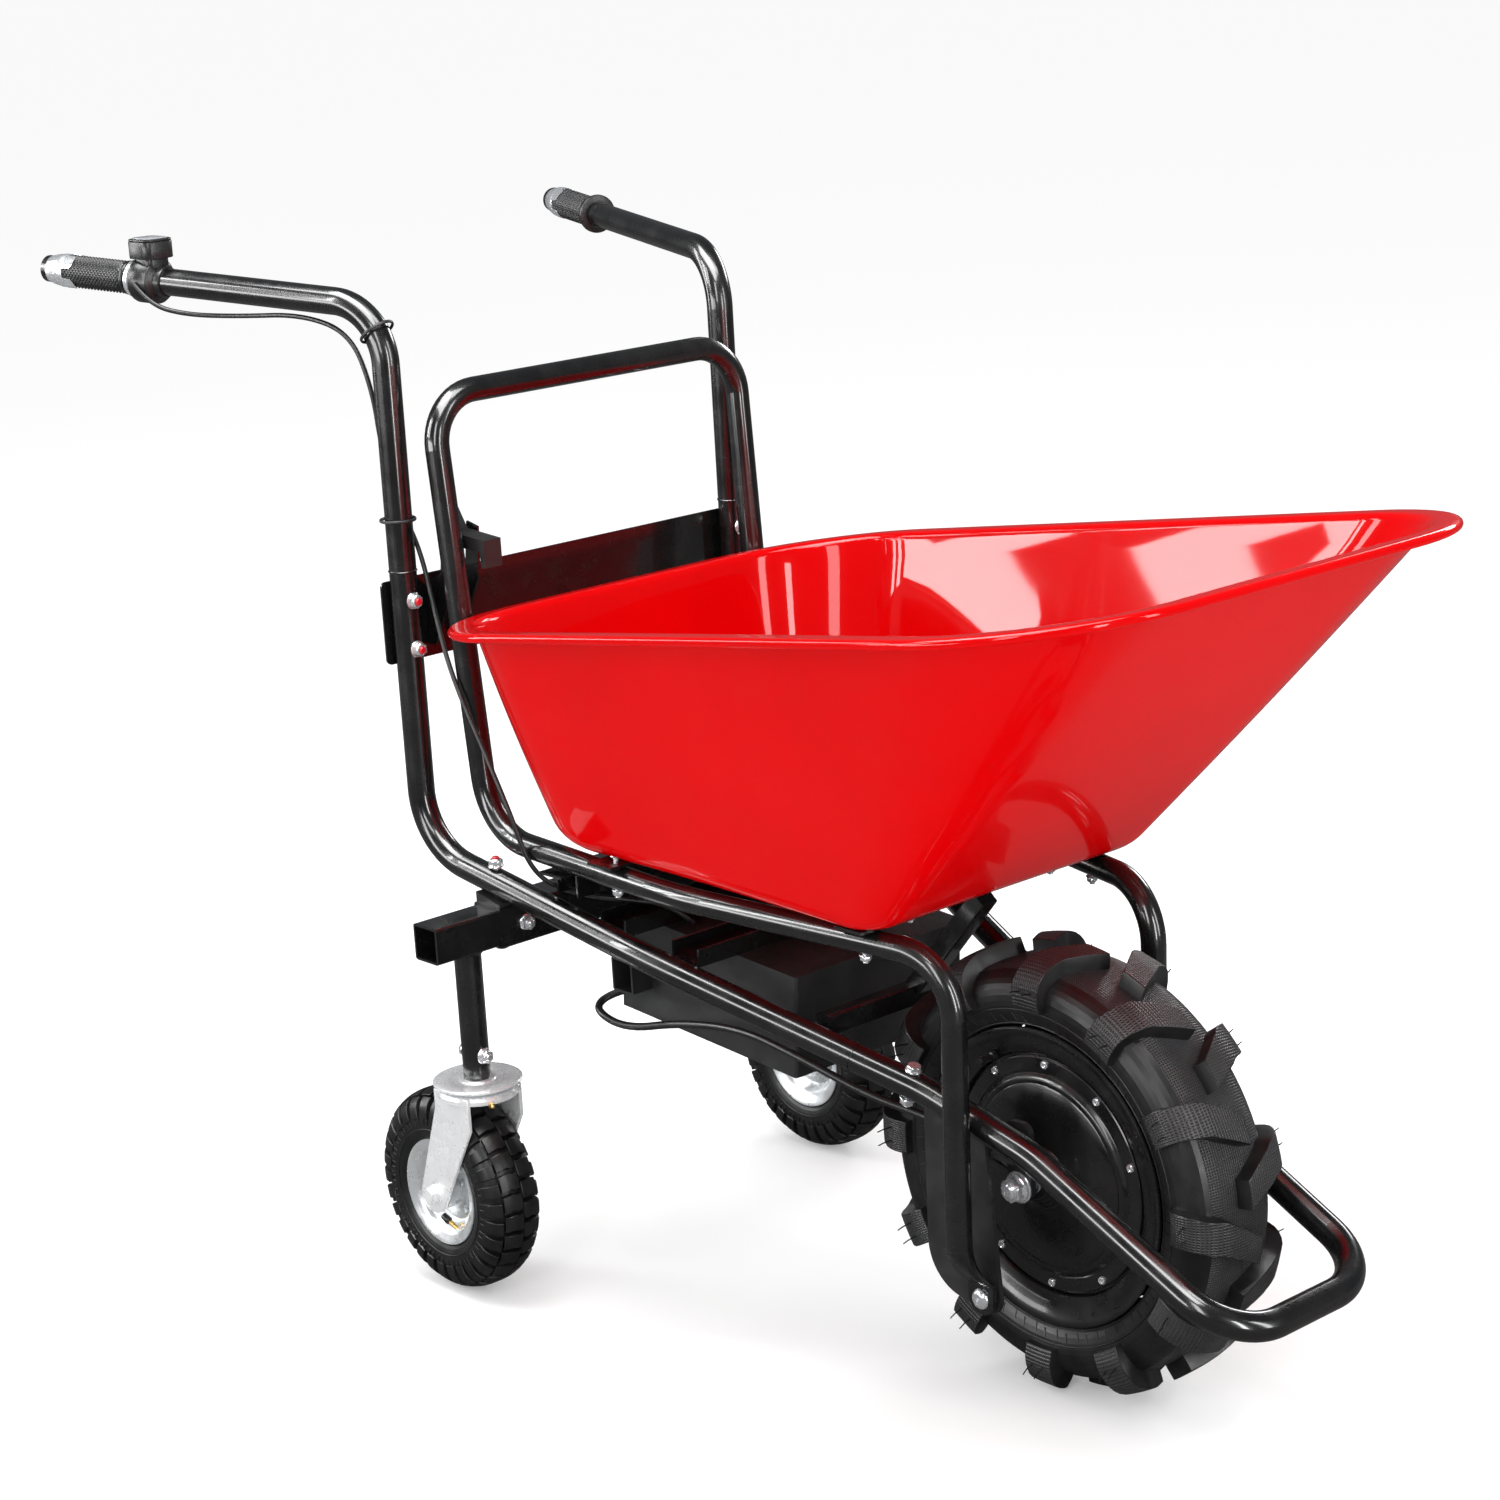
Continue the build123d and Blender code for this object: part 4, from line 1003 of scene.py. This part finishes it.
def make_caster_fork(name):
    """The pressed fork: a crown with a rolled skirt and two cheeks that narrow to the axle."""
    s = SIDES[name]
    top = stem_at(s, 224)
    swivel = f"caster_swivel_{name}"
    crown = [(0.0, 5.6), (36, 5.6), (40, 4.4), (42, 1.5), (42, -2.5), (40.4, -3.5), (39.4, -2.5),
             (39.4, 0.6), (36, 2.0), (0.0, 2.0)]
    shape = Shape().turned(crown, top, (0, 0, 1), 72)
    shape.piece(f"caster_crown_{name}", "caster_zinc", swivel, "caster_zinc", [f"caster_fork_{name}"], 34)

    cheeks = Shape()
    outline = cheek_outline(top, caster_hub(s))
    for inner in (-35, 31):
        origin = Vector((0, top.y + (inner + 4) * MM, 0))
        cheeks.add(*prism(outline, origin, (1, 0, 0), (0, 0, 1), 4 * MM))
    cheeks.piece(f"caster_cheeks_{name}", "caster_zinc", swivel, "caster_zinc", (), 34, 0.0009)


def cheek_outline(top, hub):
    """The cheek's outline from the side: wide at the crown, straight edges, round at the axle."""
    nose = 20.5 * MM
    front, rear = top.x + 27 * MM, top.x - 30 * MM
    crown = top.z + 4.5 * MM
    points = [(front, crown), (rear, crown), (rear, crown - 20 * MM)]
    for i in range(11):
        turn = radians(172 + 150 * i / 10)
        points.append((hub.x + nose * cos(turn), hub.z + nose * sin(turn)))
    points.append((front, top.z - 30 * MM))
    return points


def nut_and_washer(shape, seat, out, size, stick=2.2, mark=0):
    """A flange nut on its washer, with its nylon ring and the bolt's threaded end standing out."""
    out = Vector(out).normalized()
    washer = [(0.55, 0.0), (1.02, 0.0), (1.06, 0.06), (1.0, 0.14), (0.82, 0.2), (0.5, 0.2)]
    collar = [(0.72, 0.9), (0.70, 1.0), (0.60, 1.06), (0.49, 1.04)]
    shape.turned(washer, seat, out, 28, unit=size)
    shape.add(*hexagon(1.6 * size, seat, out, 0.78 * size, 0.16 * size))
    shape.turned(collar, seat, out, 24, unit=size)
    thread_end(shape, seat + out * 0.9 * size, out, size, 0.16 * size + stick * MM, mark)


def thread_end(shape, start, out, size, length, mark=0):
    """The threaded end of a bolt, its crests as rings."""
    profile = [(0.42 * size, 0.0)]
    turns = max(2, int(length / (0.16 * size)))
    for i in range(turns):
        low = length * i / turns
        profile += [(0.50 * size, low + 0.25 * length / turns), (0.43 * size, low + 0.75 * length / turns)]
    profile += [(0.36 * size, length), (0.0, length)]
    shape.turned(profile, start, out, 20, unit=1, mark=mark)


def hex_head(shape, seat, out, size):
    """A hex bolt head on its washer."""
    washer = [(0.5, 0.0), (1.0, 0.0), (1.02, 0.1), (0.98, 0.16), (0.5, 0.16)]
    shape.turned(washer, seat, out, 28, unit=size)
    shape.add(*hexagon(1.6 * size, seat, out, 0.62 * size, 0.14 * size, 0.14))


def bolt_line(points):
    """Where a CAD bolt's head seats, where its tail ends, and the direction out of its head."""
    centre = points.mean(0)
    spread = points - centre
    axis = np.linalg.svd(spread, full_matrices=False)[2][0]
    along = spread @ axis
    wide = np.linalg.norm(spread - np.outer(along, axis), axis=1)
    wide = wide > 0.8 * wide.max()
    if along[wide].mean() < 0:
        axis = -axis
        along = -along
    middle = points[wide].mean(0)
    head = middle + axis * (along[wide].min() - along[wide].mean())
    tail = head - axis * (along[wide].min() - along.min())
    return Vector(head), Vector(tail), Vector(axis)


def make_fasteners(bolts_node, nuts_node, body, size):
    """Hex bolts and nuts in place of the CAD's; the threaded ends of those set high up are red."""
    red_tips_height = 0.44
    shape = Shape()
    for points in islands(bolts_node):
        head, tail, axis = bolt_line(points)
        hex_head(shape, head, axis, size)
        seat = tail + axis * 1.25 * size
        # bolts set high up whose threaded ends point level or upward get red threaded ends
        red_tips = 1 if tail.z > red_tips_height and axis.z < 0.1 else 0
        nut_and_washer(shape, seat, -axis, size, mark=red_tips)
        shank = (head - seat).length
        shape.turned([(0.49 * size, 0.0), (0.49 * size, shank)], seat, axis, 20, unit=1)
    shape.piece(f"{bolts_node}_detailed", ["zinc", "red_tips"], body, "zinc", [bolts_node, nuts_node], 34)


make_fasteners("chassis_bolts", "chassis_nuts", "chassis", 8 * MM)
make_fasteners("tray_bolts", "tray_nuts", "tray_body", 6 * MM)


def make_pivot_bolts():
    """Pan-head pivot bolts with a dimple, and their nuts on the inside."""
    low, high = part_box("pivot_bolts")
    x = (low.x + high.x) / 2
    z = (low.z + high.z) / 2
    plate_face = 0.1146
    dome = [(0.0, 2.2), (1.6, 2.3), (2.1, 4.6), (4.2, 4.9), (6.6, 4.4), (8.6, 3.2), (9.7, 1.6), (10, 0.6),
            (9.6, 0.0)]
    shape = Shape()
    for s in (-1, 1):
        seat = Vector((x, s * plate_face, z))
        out = Vector((0, s, 0))
        shape.turned(dome, seat, out, 36)
        shape.turned([(5, 0), (5, 22)], seat, -out, 24)
        shape.add(*hexagon(17 * MM, seat - out * 13.4 * MM, -out, 8 * MM))
        thread_end(shape, seat - out * 21.4 * MM, -out, 10 * MM, 2.2 * MM)
    shape.piece("pivot_bolt_heads", "zinc", "chassis", "zinc", ["pivot_bolts"], 34)


def make_axle_ends():
    """Domed axle nuts on stepped washers, and the axle's threaded ends with their hollows."""
    washer = [(8.1, 0.0), (15, 0.0), (15.4, 0.5), (15.4, 1.7), (14.8, 2.3), (12.6, 2.5), (12.4, 3.1),
              (8.1, 3.1)]
    flange = [(8.2, 3.1), (13.6, 3.1), (14, 3.6), (13.4, 5), (11.8, 6), (8.2, 6)]
    hollow = [(0.0, 3.4), (2.6, 3.4), (3.1, 4.3), (5.2, 4.3)]
    shape = Shape()
    ends = Shape()
    for s in (-1, 1):
        seat = at(0, s * 78.1, AXLE_Z / MM)
        out = Vector((0, s, 0))
        shape.turned(washer, seat, out, 40)
        shape.turned(flange, seat, out, 40)
        shape.add(*hexagon(22 * MM, seat, out, 8.6 * MM, 5.6 * MM, 0.16))
        thread_end(ends, seat + out * 13.6 * MM, out, 15.6 * MM, 4.0 * MM)
        ends.turned(hollow, seat + out * 13.4 * MM, out, 24)
    for radius, half in ((8, 91.8), (11, 64)):
        ends.turned([(radius, -half), (radius, half)], WHEEL, (0, 1, 0), 32)
    shape.piece("axle_nuts_detailed", "zinc", "chassis", "zinc", ["axle_nuts"], 34)
    ends.piece("axle_threaded", "zinc", "chassis", "zinc", ["axle"], 34)


def make_caster_axle(name):
    """The hex axle bolt and nut through the fork's cheeks, with spacers inside."""
    s = SIDES[name]
    hub = caster_hub(s)
    cheek = 35.2
    outward = Vector((0, s, 0))
    spacer = [(5.1, 0.0), (8.5, 0.0), (8.5, 1.8), (5.1, 1.8)]
    shape = Shape()
    hex_head(shape, hub + outward * cheek * MM, outward, 10 * MM)
    nut_and_washer(shape, hub - outward * cheek * MM, -outward, 10 * MM, 3.0)
    shape.turned([(5, -cheek), (5, cheek)], hub, (0, 1, 0), 24)
    for inner in (-1, 1):
        shape.turned(spacer, hub + Vector((0, inner * 29.1 * MM, 0)), (0, inner, 0), 24)
    shape.piece(f"caster_axle_bolt_{name}", "caster_zinc", f"caster_swivel_{name}", "caster_zinc",
                [f"caster_axle_{name}"], 34)


make_pivot_bolts()
make_axle_ends()


def make_swivel_plates():
    """The stepped zinc plates under the posts, with their ball-race skirts and stems."""
    plate = [(11.2, 0.3), (17, 0.3), (18.5, -0.6), (19.5, -1.4), (24, -1.5), (26, -0.7), (27.5, 0.1),
             (39.5, 0.1), (42, 0.0), (44.6, -0.4), (46, -1.4), (46, -2.8), (44.6, -3.8), (42.5, -4.2),
             (41, -5.4), (38.5, -6.8), (34, -7.4), (0, -7.4)]
    shape = Shape()
    for s in (-1, 1):
        centre = stem_at(s, 238)
        shape.turned(plate, centre, (0, 0, 1), 96)
        shape.turned([(11.1, 0), (11.1, 61)], centre, (0, 0, 1), 32)
    shape.piece("swivel_plates_stepped", "caster_zinc", "chassis", "caster_zinc", ["swivel_plates"], 34)


def make_grease_nipple(name):
    """A brass grease nipple that points forward out of the fork's skirt."""
    turn = radians(-20)
    out = Vector((cos(turn), sin(turn), 0)).normalized()
    skirt = stem_at(SIDES[name], 226) + out * 40 * MM - Vector((0, 0, 5 * MM))
    stem = [(0.0, 9.5), (1.2, 9.4), (1.9, 8.4), (1.9, 7.2), (1.3, 6.4), (1.3, 5.4), (3.2, 4.6), (3.2, 0.0)]
    shape = Shape().turned(stem, skirt, out, 20)
    shape.piece(f"grease_nipple_{name}", "brass", f"caster_swivel_{name}", "caster_zinc", (), 34)


make_swivel_plates()
for side_name in SIDES:
    make_caster_tyre(side_name)
    make_caster_rim(side_name)
    make_caster_fork(side_name)
    make_caster_axle(side_name)
    make_grease_nipple(side_name)

# ================================================================ handlebar grips
BAR_RADIUS = 14.3 * MM
GRIP_END = at(-1122, 342, 1046)
ELBOW = at(-695, 222, 1015)


def bar_line(side):
    """The bar's end on one side, and the direction out along it."""
    end = Vector((GRIP_END.x, side * GRIP_END.y, GRIP_END.z))
    elbow = Vector((ELBOW.x, side * ELBOW.y, ELBOW.z))
    return end, (end - elbow).normalized()


def knurled_sleeve(shape, start, axis, length, radius, height, rows, around):
    """Rubber cut with crossed grooves into rows of small pyramids."""
    first, second = basis(axis)
    per = 6                             # mesh steps for each groove
    n = around * per
    m = rows * per
    points = []
    for i in range(m + 1):
        t = i / m
        edge = min(1.0, min(t, 1 - t) * rows * 1.4)
        for j in range(n):
            p = i / per + j / per
            q = i / per - j / per
            lift = 1 - min(1.0, max(abs((p % 1.0) - 0.5), abs((q % 1.0) - 0.5)) * 2) ** 2.5
            r = radius - height + height * lift * edge
            turn = 2 * pi * j / n
            points.append(start + axis * length * t + (first * cos(turn) + second * sin(turn)) * r)
    shape.add(points, ring_faces(m + 1, n))
    for place, out in ((start, -axis), (start + axis * length, axis)):
        shape.turned([(BAR_RADIUS, 0.0), (radius - height, 0.0)], place, out, 48, unit=1)


def make_grip(name, body, nodes):
    """A knurled rubber sleeve and its collar."""
    end, axis = bar_line(SIDES[name])
    start = end - axis * 112 * MM
    collar = [(14.3, 0.0), (17.4, 0.0), (17.8, 0.6), (17.8, 3.4), (17.2, 4.2), (14.3, 4.2)]
    sleeve = Shape()
    knurled_sleeve(sleeve, start, axis, 80 * MM, 17.3 * MM, 1.5 * MM, rows=18, around=22)
    sleeve.turned(collar, end - axis * 117 * MM, axis, 48)
    sleeve.piece(f"grip_knurl_{name}", "grip_rubber", body, "grip_rubber", nodes, 50)


def make_bar_ends():
    """Turned aluminium grip ends, each with four fingers that reach over the rubber."""
    shape = Shape()
    for side in (-1, 1):
        end, axis = bar_line(side)
        start = end - axis * 32 * MM
        body = [(14.2, 0.0), (17.3, 0.0), (17.5, 0.5), (17.5, 9.0), (17.2, 10.0), (16.7, 14), (15.8, 19),
                (14.6, 24), (14.1, 25.6), (13.1, 26.4), (13.0, 31.5), (12.2, 32.6), (9.8, 33.0),
                (9.2, 32.2), (8.8, 27), (0, 27)]
        shape.turned(body, start, axis, 96)
        first, second = basis(axis)
        for n in range(4):
            middle_turn = radians(45 + 90 * n)
            finger(shape, start, axis, first, second, middle_turn)
    shape.piece("bar_end_caps", "end_cap", "chassis", "end_cap", ["bar_ends"], 34)


def finger(shape, start, axis, first, second, middle_turn):
    """A thin curved tongue from the cap's rear edge back over the rubber, a little narrower at its tip."""
    reach, lap = 15 * MM, 1 * MM
    outside, inside = 17.9 * MM, 17.35 * MM
    half_turn = radians(29)
    rows, cells = 8, 10
    width = cells + 1
    grid = []
    for i in range(rows + 1):
        t = i / rows
        spread = half_turn * (1 - 0.12 * t) * (1.0 if t < 0.8 else (1 - ((t - 0.8) / 0.2) ** 2 * 0.45))
        for j in range(width):
            turn = middle_turn + spread * (2 * j / cells - 1)
            spoke = first * cos(turn) + second * sin(turn)
            grid.append((start - axis * reach * t + axis * lap, spoke))
    points = [p + spoke * outside for p, spoke in grid] + [p + spoke * inside for p, spoke in grid]
    layer = len(grid)
    faces = []
    for outer in strip_faces(rows + 1, width):
        faces.append(outer)
        a, b, c, d = outer
        faces.append((layer + a, layer + d, layer + c, layer + b))
    rim = [(0, j) for j in range(width)] + [(i, cells) for i in range(1, rows + 1)]
    rim += [(rows, j) for j in range(cells - 1, -1, -1)] + [(i, 0) for i in range(rows - 1, 0, -1)]
    ids = [i * width + j for i, j in rim]
    for a, b in zip(ids, ids[1:] + ids[:1]):
        faces.append((a, layer + a, layer + b, b))
    shape.add(points, faces)


make_grip("right", "throttle", ["throttle_grip"])
make_grip("left", "chassis", ["grip_left"])
make_bar_ends()


def make_controls():
    """The throttle drum with its silver rings, and the left grip's flange."""
    end, axis = bar_line(SIDES["right"])
    back = end - axis * 166 * MM
    drum = [(14.2, 0.0), (15.6, 0.2), (16.4, 2.0), (16.6, 8.0), (19.5, 9.5), (22.4, 10.5), (23.4, 11.8),
            (23.6, 22), (24, 22.6), (24, 34), (23.4, 35.6), (21.6, 36.6), (19.4, 37), (19.2, 39)]
    shape = Shape().turned(drum, back, axis, 72)
    shape.piece("throttle_drum", "black_plastic", "chassis", "black_plastic", ["throttle_housing"], 34)

    rings = Shape()
    for start, radius in ((39.2, 20.2), (43.0, 19.4)):
        ring = [(15, 0.0), (radius - 0.8, 0.0), (radius, 0.7), (radius, 2.2), (radius - 0.8, 2.9), (15, 2.9)]
        rings.turned(ring, back + axis * start * MM, axis, 72)
    rings.piece("throttle_rings", "end_cap", "chassis", "black_plastic", (), 34)

    end, axis = bar_line(SIDES["left"])
    flange = [(14.2, 0.0), (17, 0.0), (21.4, 0.8), (22, 1.8), (22, 4.6), (21.2, 5.6), (18.2, 6.2),
              (17.6, 7.0), (14.2, 7.0)]
    shape = Shape().turned(flange, end - axis * 130 * MM, axis, 72)
    shape.piece("grip_flange_left", "grip_rubber", "chassis", "grip_rubber", ["grip_collar_left"], 34)


def rounded_box(shape, low, high, corner, edge):
    """An upright box with rounded corners, drawn in at its top and bottom edges."""
    low, high = Vector(low), Vector(high)
    centre = (low + high) / 2
    half = (high - low) / 2
    tall = 2 * half.z
    rings = [(0.0, edge), (edge * 0.3, edge * 0.3), (edge, 0.0), (tall - edge, 0.0),
             (tall - edge * 0.3, edge * 0.3), (tall, edge)]
    around = 40
    points = []
    for height, inset in rings:
        for j in range(around):
            turn = 2 * pi * (j + 0.5) / around
            quarter_x = 1 if cos(turn) > 0 else -1
            quarter_y = 1 if sin(turn) > 0 else -1
            x = quarter_x * (half.x - corner) + (corner - inset) * cos(turn)
            y = quarter_y * (half.y - corner) + (corner - inset) * sin(turn)
            points.append((centre.x + x, centre.y + y, low.z + height))
    shape.add(points, ring_faces(len(rings), around) + end_faces(len(rings), around))


def make_gauge():
    """The gauge's box: a lower block, the case and its lid, with a window in the lid."""
    low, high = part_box("battery_gauge")
    box = Shape()
    # each part: inset in x and y, foot and top heights, corner radius and edge rounding
    parts = ((0, 0, low.z - 3 * MM, high.z - 2.4 * MM, 11, 0.8),
             (0.4, 0.4, high.z - 2.2 * MM, high.z, 10.6, 0.9),
             (5, 4, low.z - 13 * MM, low.z - 3 * MM, 9, 0.5))
    for x, y, foot, top, corner, edge in parts:
        inner_low = (low.x + x * MM, low.y + y * MM, foot)
        inner_high = (high.x - x * MM, high.y - y * MM, top)
        rounded_box(box, inner_low, inner_high, corner * MM, edge * MM)
    box.piece("gauge_box", "black_plastic", "chassis", "black_plastic", ["battery_gauge"], 34)
    low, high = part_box("gauge_window")
    pane = Shape()
    rounded_box(pane, low, high, 8 * MM, 0.4 * MM)
    pane.piece("gauge_pane", "gauge_plastic", "chassis", "gauge_plastic", ["gauge_window"], 34)


make_controls()
make_gauge()

# ================================================================ cables
def cable(name, body, node, stations, diameter):
    """A smooth cable through its stations, in place of the CAD's cable."""
    curve = bpy.data.curves.new(name, "CURVE")
    curve.dimensions = "3D"
    curve.bevel_depth = diameter / 2
    curve.bevel_resolution = 4
    curve.resolution_u = 12
    curve.use_fill_caps = True
    spline = curve.splines.new("NURBS")
    spline.points.add(len(stations) - 1)
    for point, station in zip(spline.points, stations):
        point.co = (*at(*station), 1.0)
    spline.use_endpoint_u = True
    spline.order_u = 3
    curve.materials.append(MATERIAL["cable_jacket"])
    made = place_in_scene(name, curve)
    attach(made, body)
    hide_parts(node)


# stations from the throttle drum, under the handlebar, down the upright and into the box's rear
THROTTLE_ROUTE = [
    (-979, -329, 1036), (-963, -322, 1014), (-935, -297, 1002), (-880, -268, 1000), (-800, -246, 1004),
    (-737, -232, 987), (-716, -226, 930), (-715, -222, 870), (-712, -208, 810), (-690, -202, 765),
    (-668, -207, 705), (-640, -213, 645), (-590, -217, 575), (-552, -218, 515), (-540, -206, 452),
    (-524, -170, 426), (-475, -142, 422), (-432, -118, 420), (-422, -98, 397)]
# stations from the box's rear, in a loop below it, forward to the axle
MOTOR_ROUTE = [
    (-512, -119, 312), (-526, -136, 307), (-520, -154, 297), (-466, -158, 291), (-392, -150, 312),
    (-310, -140, 322), (-235, -130, 306), (-160, -112, 280), (-100, -92, 268), (-52, -84, 252),
    (-30, -68, 234), (-12, -66, 226)]
cable("throttle_lead", "chassis", "throttle_cable", THROTTLE_ROUTE, 5 * MM)
cable("motor_lead", "chassis", "motor_cable", MOTOR_ROUTE, 8 * MM)


def make_ties():
    """Nylon ties that hold the throttle cable to the bar."""
    ties = (((-700, -226, 990), (0.6, 0.1, -0.8), 17.8 * MM), ((-697, -222, 800), (0, 0, -1), 17.6 * MM))
    shape = Shape()
    for station, axis, radius in ties:
        ring = ring_path(at(*station), Vector(axis).normalized(), radius, 36)
        shape.add(*sweep(ring + [ring[0]], lambda t, angle: 0.0011 * (1 + 0.5 * abs(sin(angle))), False))
    shape.piece("cable_ties", "tie", "chassis", "cable_jacket", (), 40)


make_ties()

# ================================================================ welds and tube joints
def make_welds():
    """Weld beads round the caster posts and along the pivot plates, and the lips where the bars plug in."""
    bead = 2.2 * MM
    beads = Shape()
    collars = Shape()
    lip = [(14.0, -1.2), (14.9, -0.8), (15.0, 0.0), (14.6, 0.5), (13.8, 0.6)]
    for s in (-1, 1):
        post = ring_path(stem_at(s, 393 - 19.5), (0, 0, 1), 14.6 * MM)
        weld_bead(beads, post, bead, True)
        y = s * 104 * 1.02
        weld_bead(beads, [at(-90, y, 287), at(-60, y, 281), at(-20, y, 270)], bead)
        collars.turned(lip, at(-696, s * 222, 748), (0, 0, 1), 40)
    beads.piece("weld_beads", "frame_paint", "chassis", "frame_paint", (), 40)
    collars.piece("tube_lips", "frame_paint", "chassis", "frame_paint", (), 34)


make_welds()

# ================================================================ CAD nodes that keep their shape
KEPT = {
    "frame_paint": "frame_tube_left frame_tube_right bumper_loop handlebar_left handlebar_right "
                   "back_panel crossbar_sleeve caster_arms tray_prop tray_frame latch_bracket rail_rest "
                   "tray_straps box_channels",
    "plate_paint": "pivot_plates axle_dropouts saddle_blocks box_sockets latch_hook",
    "box_paint": "battery_box box_lid",
    "zinc": "frame_spigots latch_pin motor_bearings magnet_ring",
    "cell_wrap": "battery_pack",
    "controller_case": "motor_controller",
    "core": "motor_stator",
}
for slot_name, names in KEPT.items():
    for node_name in names.split():
        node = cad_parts[node_name]
        node.data.materials.clear()
        node.data.materials.append(MATERIAL[slot_name])
